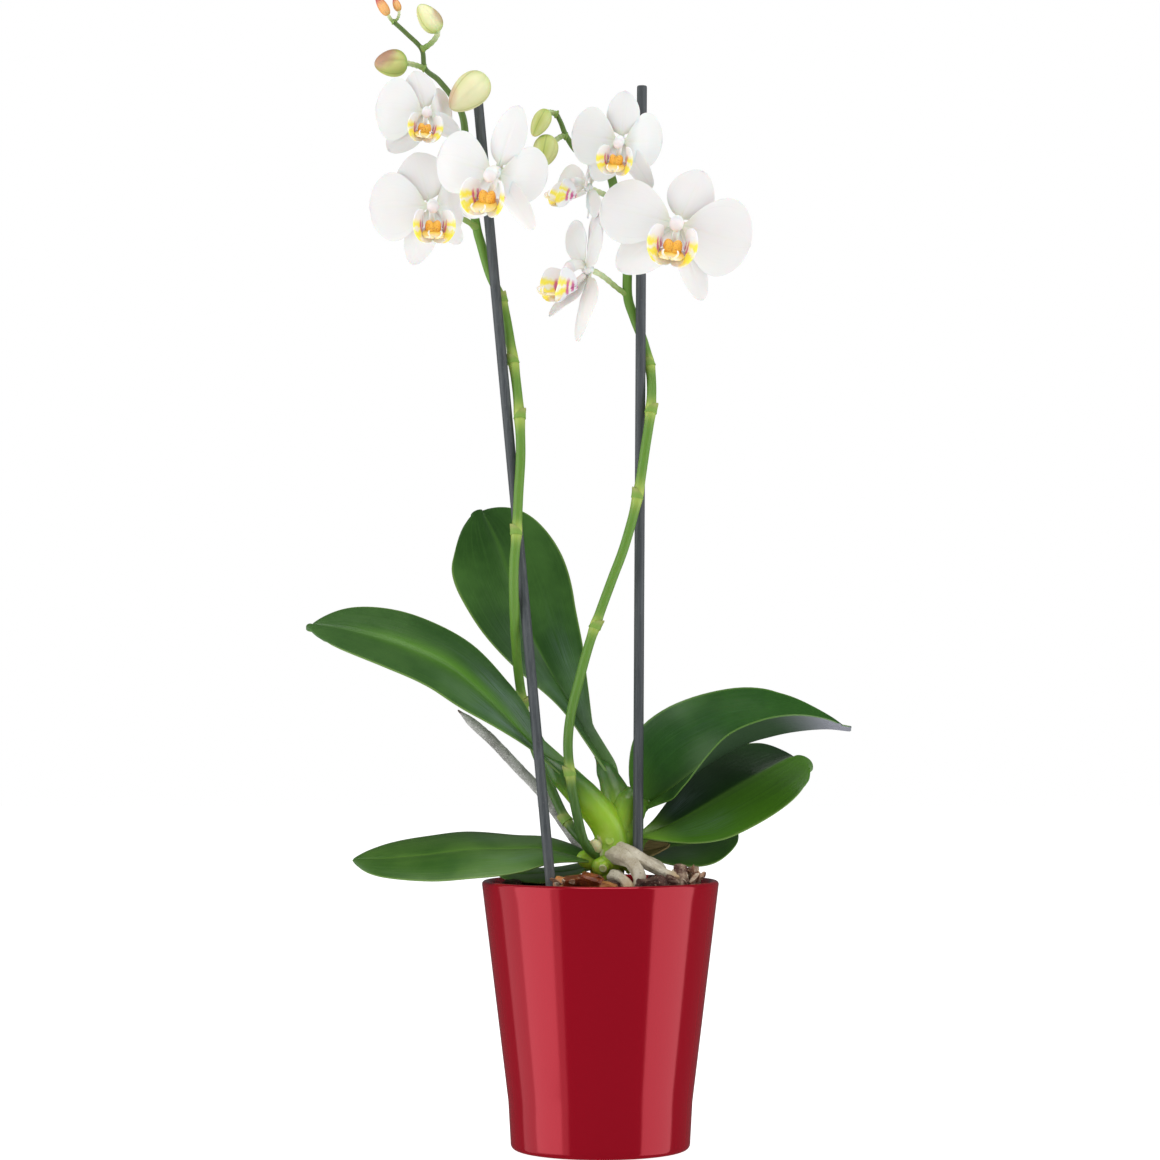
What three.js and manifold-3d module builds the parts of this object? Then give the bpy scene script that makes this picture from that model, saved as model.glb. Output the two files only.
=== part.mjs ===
// Potted moth orchid: two flower spikes on dark support sticks, seven leaves, silver roots,
// a bed of bark chips in a clear grow pot, and a red glazed cover pot.
// Millimetres, +Z up, origin at the middle of the cover pot's underside, seen from -Y.
import * as THREE from "three";
import { mergeVertices } from "three/addons/utils/BufferGeometryUtils.js";
import Module from "manifold-3d";

const wasm = await Module();
wasm.setup();

// Driving dimensions
const GAP = 0.34;
const TIDY = 0.12;
const POT_HEIGHT = 152;
const POT_RIM_RADIUS = 67.5;
const POT_FOOT_RADIUS = 51;
const POT_KNEE_RADIUS = 52.4;
const POT_KNEE_HEIGHT = 27;
const POT_WALL = 4;
const POT_FLOOR = 6;
const GROW_POT_WALL = 1;
const GROW_POT_TOP = 143;
const GROW_POT_CLEARANCE = 2.5;
const BARK_TOP = 143;
const BARK_CHIPS = 11;
const STICK_RADIUS = 2.9;
const STICK_FOOT = 92;
const LEAF_THICKNESS = 1.8;
const TEPAL_THICKNESS = 0.8;
const LIP_THICKNESS = 0.8;
const RECEPTACLE_RADIUS = 4.2;
const STEM_RADIUS = 2.7;
const TIP_RADIUS = 1.3;

const MATERIALS = {
  glaze: { color: 0x9c0e26, roughness: 0.15 },
  clear_plastic: { color: 0xd8dcd8, roughness: 0.2 },
  bark: { color: 0x5a3420, roughness: 0.9 },
  stick: { color: 0x4a4d50, roughness: 0.6 },
  crown: { color: 0x7fae2a, roughness: 0.4 },
  leaf: { color: 0x2f5a1c, roughness: 0.35 },
  root: { color: 0xb4ad9a, roughness: 0.8 },
  aerial_root: { color: 0x8f8d88, roughness: 0.8 },
  dry_sheath: { color: 0x8a6a3c, roughness: 0.9 },
  spike: { color: 0x6f9a46, roughness: 0.5 },
  bud: { color: 0xc6d08c, roughness: 0.5 },
  bud_tip: { color: 0xd08a50, roughness: 0.5 },
  tepal: { color: 0xf4f2ee, roughness: 0.6 },
  lip: { color: 0xf0e488, roughness: 0.5 },
  column: { color: 0xf2e6e4, roughness: 0.5 },
};

const orchid = new THREE.Group();
const solids = new Map();

const point = (p) => new THREE.Vector3(...p);
const lerp = THREE.MathUtils.lerp;
const radians = THREE.MathUtils.degToRad;
const smoothstep = THREE.MathUtils.smoothstep;
const spline = (points) => new THREE.CatmullRomCurve3(points.map(point), false, "catmullrom", 0.5);

// A closed geometry as a manifold solid.
function solidOf(geometry) {
  const bare = geometry.clone();
  bare.deleteAttribute("normal");
  bare.deleteAttribute("uv");
  const merged = mergeVertices(bare, 1e-4);
  return new wasm.Manifold(
    new wasm.Mesh({
      numProp: 3,
      vertProperties: new Float32Array(merged.attributes.position.array),
      triVerts: new Uint32Array(merged.index.array),
    }),
  );
}

// The largest body of a solid: what a cut leaves on the far side is dropped.
function largest(solid) {
  return solid.decompose().reduce((a, b) => (b.volume() > a.volume() ? b : a));
}

function fuse(pieces) {
  return pieces.reduce((a, b) => a.add(b));
}

function geometryOf(solid) {
  const mesh = solid.getMesh();
  const geometry = new THREE.BufferGeometry();
  const vertices = new Float32Array(mesh.vertProperties);
  geometry.setAttribute("position", new THREE.BufferAttribute(vertices, 3));
  geometry.setIndex(new THREE.BufferAttribute(new Uint32Array(mesh.triVerts), 1));
  return geometry;
}

// Cuts a solid by its neighbours, keeps its largest body, and adds it to the orchid as one named mesh.
function place(name, finish, solid, neighbours = []) {
  const cut = neighbours.reduce((kept, other) => kept.subtract(other), solid);
  const made = largest(largest(cut).simplify(TIDY));
  const geometry = geometryOf(made).toNonIndexed();
  geometry.computeVertexNormals();
  const material = new THREE.MeshStandardMaterial({ ...MATERIALS[finish], metalness: 0 });
  const mesh = new THREE.Mesh(geometry, material);
  mesh.name = name;
  orchid.add(mesh);
  solids.set(name, made);
  return made;
}

// Points of a curve with a pair of crossing directions at each, turned as little as may be from one to the next.
function ringFrames(curve, steps) {
  const first = curve.getTangent(0);
  const spare = Math.abs(first.z) < 0.8 ? new THREE.Vector3(0, 0, 1) : new THREE.Vector3(1, 0, 0);
  let side = spare.cross(first).normalize();
  return [...Array(steps + 1).keys()].map((step) => {
    const along = curve.getTangent(step / steps);
    side = side.clone().addScaledVector(along, -side.dot(along)).normalize();
    return { spot: curve.getPoint(step / steps), side, up: along.clone().cross(side) };
  });
}

// A round rod along a curve, its radius given by radiusAt(t). The cylinder's rings are moved onto the curve.
function rod(curve, radiusAt, sides, steps) {
  const geometry = new THREE.CylinderGeometry(1, 1, 1, sides, steps).toNonIndexed();
  const frames = ringFrames(curve, steps);
  const position = geometry.attributes.position;
  for (let i = 0; i < position.count; i++) {
    const step = Math.round((position.getY(i) + 0.5) * steps);
    const { spot, side, up } = frames[step];
    const reach = radiusAt(step / steps);
    const moved = spot.clone().addScaledVector(side, position.getX(i) * reach);
    moved.addScaledVector(up, -position.getZ(i) * reach);
    position.setXYZ(i, moved.x, moved.y, moved.z);
  }
  const made = solidOf(geometry);
  return made.volume() < 0 ? solidOf(turned(geometry)) : made;
}

// The same triangles facing the other way.
function turned(geometry) {
  const flipped = geometry.clone();
  const position = flipped.attributes.position;
  const spare = new THREE.Vector3();
  for (let i = 0; i < position.count; i += 3) {
    spare.fromBufferAttribute(position, i);
    position.setXYZ(i, position.getX(i + 1), position.getY(i + 1), position.getZ(i + 1));
    position.setXYZ(i + 1, spare.x, spare.y, spare.z);
  }
  return flipped;
}

// An egg from its foot to its tip; blunt moves the widest ring towards the foot.
function egg(foot, tip, radius, sides = 8, rings = 5, blunt = 0.25) {
  const from = point(foot);
  const axis = point(tip).sub(from);
  const geometry = new THREE.SphereGeometry(1, sides, rings).toNonIndexed();
  const position = geometry.attributes.position;
  for (let i = 0; i < position.count; i++) {
    const along = position.getY(i);
    const swell = 1 - blunt * along;
    position.setXYZ(i, position.getX(i) * swell * radius, along, position.getZ(i) * swell * radius);
  }
  const turn = new THREE.Quaternion().setFromUnitVectors(new THREE.Vector3(0, 1, 0), axis.clone().normalize());
  const middle = from.clone().addScaledVector(axis, 0.5);
  const stretch = new THREE.Vector3(1, axis.length() / 2, 1);
  geometry.applyMatrix4(new THREE.Matrix4().makeScale(...stretch.toArray()));
  geometry.applyQuaternion(turn).translate(...middle.toArray());
  return solidOf(geometry);
}

// The half width of a blade at t, from a narrow root to its widest and round to the tip.
function halfWidth(shape, t) {
  const s = Math.max(0, (t - shape.start) / (1 - shape.start));
  const lobe = Math.pow(Math.max(0, Math.sin(Math.PI * Math.pow(s, shape.skew))), shape.blunt);
  return lerp(shape.root, shape.tip, t) + shape.width * lobe;
}

// A point of a blade's middle surface: t runs from root to tip, u from -1 to 1 across.
function bladePoint(shape, t, u) {
  const step = 1e-3;
  const keel = shape.keel.getPoint(t);
  const along = shape.keel
    .getPoint(Math.min(1, t + step))
    .sub(shape.keel.getPoint(Math.max(0, t - step)))
    .normalize();
  const face = shape.faces[0].clone().lerp(shape.faces[1], smoothstep(t, 0, 1));
  const across = face.cross(along).normalize();
  const up = along.clone().cross(across);
  const half = halfWidth(shape, t);
  const fold = radians(lerp(shape.rootFold, shape.fold, smoothstep(t, 0, shape.foldEnd)));
  const reach = half * Math.abs(u);
  const ripple = shape.wave * Math.sin(Math.PI * (shape.waves * t + (u > 0 ? 0.35 : 0))) * u * u * t;
  return keel
    .addScaledVector(across, half * u * Math.cos(fold))
    .addScaledVector(up, reach * Math.sin(fold) - shape.arch * half * u * u + ripple);
}

const BLADE = { start: 0, skew: 1, blunt: 0.7, root: 4, tip: 1, rootFold: 0, fold: 0, foldEnd: 0.4, arch: 0 };

// A thin leaf or petal of even thickness, split into triangles alike on both faces.
function blade(options, thickness, rows, columns, matrix) {
  const shape = { ...BLADE, wave: 0, waves: 2, ...options };
  const grid = new THREE.PlaneGeometry(2, 1, columns, rows);
  const position = grid.attributes.position;
  const faces = [[], []];
  const nudge = 4e-3;
  for (let i = 0; i < position.count; i++) {
    const u = position.getX(i);
    const share = position.getY(i) + 0.5;
    const t = 1 - Math.pow(1 - share, 1.5);
    const alongStep = bladePoint(shape, Math.min(1, t + nudge), u).sub(bladePoint(shape, Math.max(0, t - nudge), u));
    const acrossStep = bladePoint(shape, t, Math.min(1, u + 0.1)).sub(bladePoint(shape, t, Math.max(-1, u - 0.1)));
    const normal = alongStep.cross(acrossStep).normalize();
    const middle = bladePoint(shape, t, u);
    [-0.5, 0.5].forEach((side, k) => {
      const spot = middle.clone().addScaledVector(normal, side * thickness);
      faces[k].push(matrix ? spot.applyMatrix4(matrix) : spot);
    });
  }
  const vertices = [...faces[0], ...faces[1]].flatMap((v) => v.toArray());
  const under = Array.from(grid.index.array);
  const over = [];
  for (let i = 0; i < under.length; i += 3) {
    const [a, b, c] = under.slice(i, i + 3).map((vertex) => vertex + position.count);
    over.push(a, c, b);
  }
  const loop = outline(columns, rows);
  const rim = loop.flatMap((a, k) => {
    const b = loop[(k + 1) % loop.length];
    return [a, b, a + position.count, b, b + position.count, a + position.count];
  });
  const geometry = new THREE.BufferGeometry();
  geometry.setAttribute("position", new THREE.Float32BufferAttribute(vertices, 3));
  geometry.setIndex([...under, ...over, ...rim]);
  const made = solidOf(geometry);
  return made.volume() < 0 ? solidOf(turned(geometry.toNonIndexed())) : made;
}

// The border of a plane's grid as one loop of vertex numbers.
function outline(columns, rows) {
  const wide = columns + 1;
  const loop = [];
  for (let i = 0; i < columns; i++) loop.push(i);
  for (let j = 0; j < rows; j++) loop.push(j * wide + columns);
  for (let i = columns; i > 0; i--) loop.push(rows * wide + i);
  for (let j = rows; j > 0; j--) loop.push(j * wide);
  return loop;
}

// Cover pot: a turned cup with a straight taper, a near upright foot and a round lip.
function coverPot() {
  const lip = POT_WALL / 2;
  const profile = [
    [0, 0],
    [POT_FOOT_RADIUS - 3, 0],
    [POT_FOOT_RADIUS - 0.9, 0.9],
    [POT_FOOT_RADIUS, 3],
    [POT_KNEE_RADIUS, POT_KNEE_HEIGHT],
    [POT_RIM_RADIUS, POT_HEIGHT - lip],
    [POT_RIM_RADIUS - 0.6, POT_HEIGHT - 0.6],
    [POT_RIM_RADIUS - lip, POT_HEIGHT],
    [POT_RIM_RADIUS - POT_WALL + 0.6, POT_HEIGHT - 0.6],
    [POT_RIM_RADIUS - POT_WALL, POT_HEIGHT - lip],
    [POT_KNEE_RADIUS - POT_WALL, POT_KNEE_HEIGHT],
    [POT_FOOT_RADIUS - POT_WALL - 0.5, POT_FLOOR + 2],
    [POT_FOOT_RADIUS - POT_WALL - 3, POT_FLOOR],
    [0, POT_FLOOR],
  ];
  return lathe(profile, 30);
}

function lathe(profile, segments) {
  const outlinePoints = profile.map(([r, z]) => new THREE.Vector2(r, z));
  const geometry = new THREE.LatheGeometry(outlinePoints, segments).rotateX(Math.PI / 2).toNonIndexed();
  const made = solidOf(geometry);
  return made.volume() < 0 ? solidOf(turned(geometry)) : made;
}

// The cover pot's inner radius at a height.
function potInside(z) {
  const share = (z - POT_KNEE_HEIGHT) / (POT_HEIGHT - POT_KNEE_HEIGHT);
  const below = Math.max(0, (POT_KNEE_HEIGHT - z) / POT_KNEE_HEIGHT);
  return lerp(POT_KNEE_RADIUS, POT_RIM_RADIUS, Math.max(0, share)) - POT_WALL - 2 * below;
}

// Grow pot: a thin clear cup with a turned-out rim and slots in its floor.
function growPot() {
  const floor = POT_FLOOR + GAP;
  const foot = potInside(POT_FLOOR) - GROW_POT_CLEARANCE - 3;
  const top = potInside(GROW_POT_TOP) - GROW_POT_CLEARANCE;
  const profile = [
    [0, floor],
    [foot, floor],
    [top, GROW_POT_TOP - 2],
    [top + 1.6, GROW_POT_TOP - 2],
    [top + 1.6, GROW_POT_TOP],
    [top - GROW_POT_WALL, GROW_POT_TOP],
    [foot - GROW_POT_WALL, floor + GROW_POT_WALL],
    [0, floor + GROW_POT_WALL],
  ];
  const slots = [...Array(4).keys()].map((k) => {
    const turn = (k * Math.PI) / 2;
    const slot = new THREE.BoxGeometry(14, 5, 6).toNonIndexed();
    slot.translate(foot * 0.6, 0, floor).rotateZ(turn);
    return solidOf(slot);
  });
  return lathe(profile, 18).subtract(fuse(slots));
}

// A repeatable random number between low and high.
function dice(seed) {
  let state = seed;
  return (low, high) => {
    state = (state * 16807) % 2147483647;
    return lerp(low, high, state / 2147483647);
  };
}

// One chip of bark: a box with each corner pushed about.
function chip(roll, size) {
  const geometry = new THREE.BoxGeometry(size, size * roll(0.5, 0.8), size * roll(0.3, 0.5));
  const bare = new THREE.BufferGeometry();
  bare.setAttribute("position", geometry.attributes.position).setIndex(geometry.index);
  const merged = mergeVertices(bare, 1e-3);
  const position = merged.attributes.position;
  for (let i = 0; i < position.count; i++) {
    const push = () => roll(-0.14, 0.14) * size;
    position.setXYZ(i, position.getX(i) + push(), position.getY(i) + push(), position.getZ(i) + push() * 0.5);
  }
  merged.rotateX(roll(-0.5, 0.5)).rotateY(roll(-0.5, 0.5)).rotateZ(roll(0, 2 * Math.PI));
  return merged;
}

// Bark: a bed that fills the grow pot, with chips laid over its top on a sunflower spiral.
function barkBed() {
  const floor = POT_FLOOR + GAP + GROW_POT_WALL + GAP;
  const foot = potInside(POT_FLOOR) - GROW_POT_CLEARANCE - 3 - GROW_POT_WALL - GAP;
  const top = potInside(BARK_TOP) - GROW_POT_CLEARANCE - GROW_POT_WALL - GAP - 0.2;
  const bed = lathe([[0, floor], [foot, floor], [top, BARK_TOP - 2], [top - 6, BARK_TOP], [0, BARK_TOP + 4]], 18);
  const roll = dice(7);
  const golden = Math.PI * (3 - Math.sqrt(5));
  const chips = [...Array(BARK_CHIPS).keys()].map((k) => {
    const out = (top - 8) * Math.sqrt((k + 0.5) / BARK_CHIPS);
    const size = roll(14, 20);
    const lift = lerp(BARK_TOP + 3, BARK_TOP - 1, out / top);
    const placed = chip(roll, size).translate(out * Math.cos(k * golden), out * Math.sin(k * golden), lift);
    return solidOf(placed.toNonIndexed());
  });
  const heap = [
    [[-14, -34, 150], 24, 0.2],
    [[31, -22, 149], 17, 0.9],
    [[44, -8, 151], 22, 1.9],
    [[52, 4, 150], 17, 0.4],
    [[36, 20, 150], 18, 2.6],
    [[-38, 20, 147], 18, 1.2],
  ].map(([spot, size, turn]) => solidOf(chip(roll, size).rotateZ(turn).translate(...spot).toNonIndexed()));
  const reach = lathe([[0, floor], [foot, floor], [top, BARK_TOP], [top, 190], [0, 190]], 18);
  return fuse([bed, ...chips, ...heap]).intersect(reach);
}

// Support sticks, from deep in the bark to their cut tops.
const STICKS = {
  stick_left: { low: [-27.9, -30, 150], high: [-71.6, 14, 611] },
  stick_right: { low: [21.2, -10, 160], high: [24.2, 6, 609] },
};

function stick({ low, high }, radius, foot = STICK_FOOT) {
  const top = point(high);
  const lean = top.clone().sub(point(low));
  const base = top.clone().addScaledVector(lean, (foot - top.z) / lean.z);
  const bar = new THREE.CylinderGeometry(radius, radius, base.distanceTo(top), 10).toNonIndexed();
  const turn = new THREE.Quaternion().setFromUnitVectors(new THREE.Vector3(0, 1, 0), lean.normalize());
  bar.applyQuaternion(turn).translate(...base.add(top).multiplyScalar(0.5).toArray());
  return solidOf(bar);
}

// Crown: the short leaning stem that every leaf, spike and root grows from, with its cut stubs.
const CROWN_LINE = [[2, 0, 138], [4, 0, 158], [6, 0, 170], [11, 1, 184], [16, 2, 196], [19, 3, 204]];

// The sheaths that clasp the crown, from its middle out to where each leaf's stalk begins.
const SHEATHS = [
  { line: [[8, -1, 168], [5, -3, 180], [-2, -5, 191]], radii: [10.5, 7.5] },
  { line: [[13, 1, 184], [11, 5, 197], [7, 11, 208]], radii: [8.5, 7.5] },
  { line: [[12, 1, 174], [17, 4, 185], [21, 8, 192]], radii: [8, 5] },
  { line: [[9, 0, 166], [16, 2, 171], [21, 3, 175.5]], radii: [8, 4.5] },
];
const STUBS = [
  { line: [[4, -6, 170], [1, -14, 171]], radii: [5.2, 4] },
  { line: [[2, -5, 160], [-1, -14.5, 157.5]], radii: [5.6, 4.2] },
  { line: [[-2, -2, 168], [-8.5, -8, 171]], radii: [4.4, 3] },
  { line: [[-2, 0, 162], [-11, -5, 162]], radii: [5.4, 4] },
];

function crownBody(grow) {
  const radii = [5, 10, 11, 9.5, 8, 4];
  const radiusAt = (t) => {
    const at = t * (radii.length - 1);
    const low = Math.min(radii.length - 2, Math.floor(at));
    return lerp(radii[low], radii[low + 1], at - low) + grow;
  };
  const trunk = rod(spline(CROWN_LINE), radiusAt, 8, 5);
  const sheaths = SHEATHS.map(({ line, radii: [low, high] }) => {
    return rod(spline(line), (t) => lerp(low, high, t) + grow, 7, 2);
  });
  const stubs = STUBS.map(({ line, radii: [low, high] }) => {
    const [foot, tip] = line.map(point);
    return rod(new THREE.LineCurve3(foot, tip), (t) => lerp(low, high, t) + grow, 6, 1);
  });
  return fuse([trunk, ...sheaths, ...stubs]);
}

// Leaves: keel points from inside the crown to the tip, and the way the upper face looks at root and tip.
const LEAVES = {
  leaf_back: {
    keel: [
      [8, 10, 206], [2, 18, 217], [-8, 28, 234], [-19, 38, 254], [-31, 45, 275], [-44, 50, 301],
      [-53, 53, 327], [-60, 54, 347], [-69, 52, 366],
    ],
    faces: [[0.5, -0.8, 0.3], [0.02, -0.97, 0.25]],
    start: 0.27, width: 30, root: 7.5, tip: 4, skew: 1.9, blunt: 0.75, rootFold: 48, fold: 12, foldEnd: 0.65, arch: 0.05,
  },
  leaf_left_high: {
    keel: [
      [-1, -5, 189], [-10, -7, 199], [-27, -8, 216.5], [-46, -9, 236], [-64, -9, 254.5],
      [-86, -9, 273], [-114, -9, 286], [-143, -8, 294], [-164, -6, 297.5],
    ],
    faces: [[0.5, -0.75, 0.55], [0.1, -0.55, 0.83]],
    start: 0.32, width: 26, root: 11.5, tip: 3, skew: 1.25, blunt: 0.7, rootFold: 50, fold: 7, foldEnd: 0.6, arch: 0.06,
  },
  leaf_right_high: {
    keel: [
      [17, 7, 188], [25, 14, 193], [40, 15, 202], [58, 8, 215.5], [80, -2, 229], [98, -10, 234.5],
      [113.5, -16, 237], [128, -21, 238.5], [141, -25, 236.5],
    ],
    faces: [[0, -0.5, 0.86], [0, -0.42, 0.9]],
    start: 0.08, width: 41, root: 4, skew: 0.63, blunt: 1.2, rootFold: 50, fold: 38, foldEnd: 0.5, arch: 0.1,
  },
  leaf_right_mid: {
    keel: [
      [16, 4, 173.5], [25, 7, 176], [38, 10, 180.5], [53, 13, 187.5], [67, 17, 195],
      [83, 22, 203.5], [100, 28, 212], [117, 36, 219.5],
    ],
    faces: [[0, -0.6, 0.8], [0.05, -0.55, 0.83]],
    start: 0.12, width: 25, root: 6, tip: 8, skew: 1.4, blunt: 0.4, rootFold: 35, fold: 2, foldEnd: 0.5, arch: 0.06,
  },
  leaf_left_low: {
    keel: [
      [-3, 0, 161.5], [-11, -2, 164], [-31, -6, 169.5], [-52, -8, 170], [-75, -10, 169.5],
      [-98, -10, 166.5], [-122, -10, 164.5], [-140, -9, 164],
    ],
    faces: [[0, -0.3, 0.95], [0, -0.55, 0.83]],
    start: 0.08, width: 23, root: 6, skew: 1.1, blunt: 0.75, rootFold: 30, fold: 3, foldEnd: 0.4, arch: 0.16,
  },
  leaf_right_low: {
    keel: [[8, 8, 164], [22, 15, 168], [38, 20, 171], [54, 25, 173.5], [67, 29, 176], [80, 33, 178]],
    faces: [[0, -0.35, 0.93], [0.1, -0.5, 0.86]],
    start: 0.05, width: 23, root: 6, skew: 1, blunt: 0.7, rootFold: 25, fold: 8, arch: 0.1,
  },
  leaf_left_small: {
    keel: [[0, 3, 160], [-14, 6, 158.5], [-32, 9, 157], [-48, 11, 156.5], [-61, 13, 157]],
    faces: [[0, -0.2, 0.97], [0, -0.3, 0.95]],
    start: 0.05, width: 11, root: 5, skew: 1, blunt: 0.75, rootFold: 20, fold: 5, arch: 0.1,
  },
};

function leaf(sizes, thickness = LEAF_THICKNESS) {
  const shape = { tip: 1.5, waves: 3, wave: 1, ...sizes, keel: spline(sizes.keel), faces: sizes.faces.map(point) };
  return blade(shape, thickness, 9, 4);
}

// Silver roots over the front of the bark, and the long one that grew up into the air.
const ROOTS = [
  { line: [[8, -7, 165], [13, -18, 163], [19, -26, 157], [22, -31, 150], [23, -34, 142]], radius: 3.9, tip: 3.2 },
  { line: [[9, -6, 167], [18, -18, 165], [29, -20, 159], [38, -23, 155.5], [46, -26, 154]], radius: 3.8, tip: 2.2 },
  { line: [[6, -9, 158], [10, -20, 154], [14, -27, 151], [17, -32, 145]], radius: 3.4, tip: 3 },
];
const RIGHT_ROOT = {
  line: [[10, -1, 163], [21, -3.2, 164], [28, -4.5, 163], [34, -5.5, 160], [37, -7, 155]],
  radius: 2.6, tip: 2,
};
const AERIAL_ROOT = [
  [-3, 6, 164], [-10, 13, 168], [-19, 19, 180], [-33, 23, 200], [-48, 23, 216], [-62, 20, 231],
  [-73, 16, 241], [-82, 13, 249],
];

function taperedRoot({ line, radius, tip }, grow, sides = 6) {
  return rod(spline(line), (t) => lerp(radius, tip, t) + grow, sides, line.length - 1);
}

function rootBundle(grow) {
  return fuse(ROOTS.map((root) => taperedRoot(root, grow)));
}

function aerialRoot(grow) {
  const swell = (t) => 1.2 + 2.9 * Math.pow(Math.sin(Math.PI * Math.pow(1 - t, 0.55)), 0.5) * (1 - 0.35 * t);
  return rod(spline(AERIAL_ROOT), (t) => Math.max(0.8, swell(t)) + grow, 7, 12);
}

// Flower spikes: the stem's line, and the heights of the joints where a bract clasps it.
const SPIKES = {
  left: {
    line: [
      [-2, 1, 167], [-14.5, 6, 179], [-22, 12, 190.5], [-30, 16, 208], [-37.5, 18, 226],
      [-43, 16, 244], [-46.4, 7, 266], [-48, -5, 284],
      [-48.8, -17, 303], [-49, -22.5, 328], [-47.5, -19.5, 350], [-46.5, -15, 372],
      [-45.4, -10.5, 397], [-47, -3.5, 426], [-51, 4, 456], [-56.2, 10.5, 483],
      [-63.7, 13, 501], [-68.8, 11, 518], [-71.2, 9, 527], [-74.6, 8, 548], [-77.2, 8, 572],
      [-79, 7, 590], [-83.5, 6, 600], [-93, 5, 612],
      [-101, 5, 619], [-103, 4, 630], [-111.4, 3, 638.7], [-119, 2, 645.5],
    ],
    bracts: [0.06, 0.2, 0.37, 0.47, 0.51, 0.56],
    narrows: [0.6, 0.95],
  },
  right: {
    line: [
      [-2, -7, 166], [-9, -15, 174], [-13.3, -19, 190], [-16.7, -21.5, 209], [-18.4, -22, 229],
      [-16.7, -21, 247], [-12, -19, 266], [-6.5, -17, 286],
      [0, -15.5, 305], [6.6, -14.5, 323], [14, -13.2, 343], [20.9, -12.2, 369], [25.6, -9.5, 398],
      [28.9, -5.4, 421], [29.1, 2.6, 442], [25.2, 7.4, 460],
      [19.6, 7, 475], [15.8, 6, 488], [15.7, 6, 511], [12.5, 6, 529], [9.4, 7, 543],
      [6.4, 10, 557], [1.7, 14, 567],
      [-5.8, 16, 571.4], [-13.3, 16, 573], [-19.5, 12.5, 581], [-22.5, 10, 588], [-25, 8.4, 593],
    ],
    bracts: [0.12, 0.28, 0.41, 0.48, 0.53],
    narrows: [0.72, 1],
  },
};

// Blooms: middle, way it looks (turn to the viewer's right, nod down, roll clockwise) and size. The spread gives
// the top sepal, the right and left sepal and the right and left petal: clock angle, sweep back, length, half width.
const BLOOMS = {
  left_1: {
    side: "left", from: [-77.2, 8, 572], middle: [-99, -24, 588], turn: 6, nod: 6, roll: 8, size: 0.74,
    spread: [[-24, 4, 33, 10.5], [114, 8, 31, 6], [-144, 6, 41, 10.5], [74, 52, 34, 16], [-92, 8, 39, 21.5]],
  },
  left_2: {
    side: "left", from: [-71.2, 9, 527], middle: [-95.6, -31, 533.8], turn: 8, nod: 8, roll: 0, size: 0.88,
    spread: [[-18, 4, 35, 16], [138, 30, 36, 6], [-163, 4, 39.5, 8.5], [84, 50, 36, 17], [-93, 8, 40, 19.5]],
  },
  left_3: {
    side: "left", from: [-74.6, 8, 548], middle: [-58, -62, 547.8], turn: -18, nod: 14, roll: 9, size: 0.95,
    spread: [[14, 4, 40.5, 8.5], [143, 4, 39.5, 5], [-146, 4, 34, 10], [98, 50, 36, 15], [-81, 0, 36.5, 16]],
  },
  right_1: {
    side: "right", from: [6.4, 10, 557], middle: [11.5, -34, 570.3], turn: -10, nod: 14, roll: 8, size: 0.76,
    spread: [[-2, 4, 36.5, 10.5], [142, 4, 42, 6], [-150, 4, 36.5, 10], [88, 44, 38, 18.5], [-88, 12, 39, 19]],
  },
  right_2: {
    side: "right", from: [15.7, 6, 511], middle: [43.2, -41, 521.8], turn: -4, nod: 4, roll: 9, size: 1.04,
    spread: [[16, 4, 32, 11], [153, 4, 43, 5.5], [-135, 4, 40.5, 10.5], [98, 4, 41, 19], [-84, 4, 43, 15]],
  },
  right_3: {
    side: "right", from: [9.4, 7, 543], middle: [-7, -4, 548.5], turn: -74, nod: -22, roll: 0, size: 0.74,
    spread: [[2, -22, 30, 8], [150, 24, 27, 8], [-150, 24, 24, 8], [64, -16, 27, 10], [-78, -34, 30, 10]],
  },
  right_4: {
    side: "right", from: [16, 6, 488], middle: [-7.5, -4, 501.5], turn: -64, nod: -8, roll: 6, size: 0.93,
    spread: [[6, -5, 36, 9], [158, -8, 50, 11], [-158, -24, 38, 5], [52, -8, 36, 9], [-36, -8, 34, 9]],
  },
};

// The outline and the set of a sepal and of a petal.
const SEPAL = {
  root: 2, tip: 1.8, start: 0.09, skew: 0.9, blunt: 0.66, arch: 0.12,
  depth: -2.2, bow: 1.5, rows: 4, columns: 2,
};
const PETAL = {
  root: 1.8, tip: 3, start: 0.08, skew: 1.25, blunt: 0.58, arch: 0.05,
  depth: 1.2, bow: 2.5, rows: 5, columns: 4,
};

function tepalSet({ spread }) {
  return spread.map(([angle, sweep, length, width], k) => {
    return { ...(k < 3 ? SEPAL : PETAL), angle, sweep, length, width };
  });
}

// The matrix that takes a bloom's own frame, x right, y up and z out of its face, to its place.
function bloomMatrix({ middle, turn, nod, roll, size }) {
  const matrix = new THREE.Matrix4().makeTranslation(...middle);
  matrix.multiply(new THREE.Matrix4().makeRotationZ(radians(turn)));
  matrix.multiply(new THREE.Matrix4().makeRotationX(radians(90 + nod)));
  matrix.multiply(new THREE.Matrix4().makeRotationZ(radians(-roll)));
  return matrix.multiply(new THREE.Matrix4().makeScale(size, size, size));
}

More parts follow.
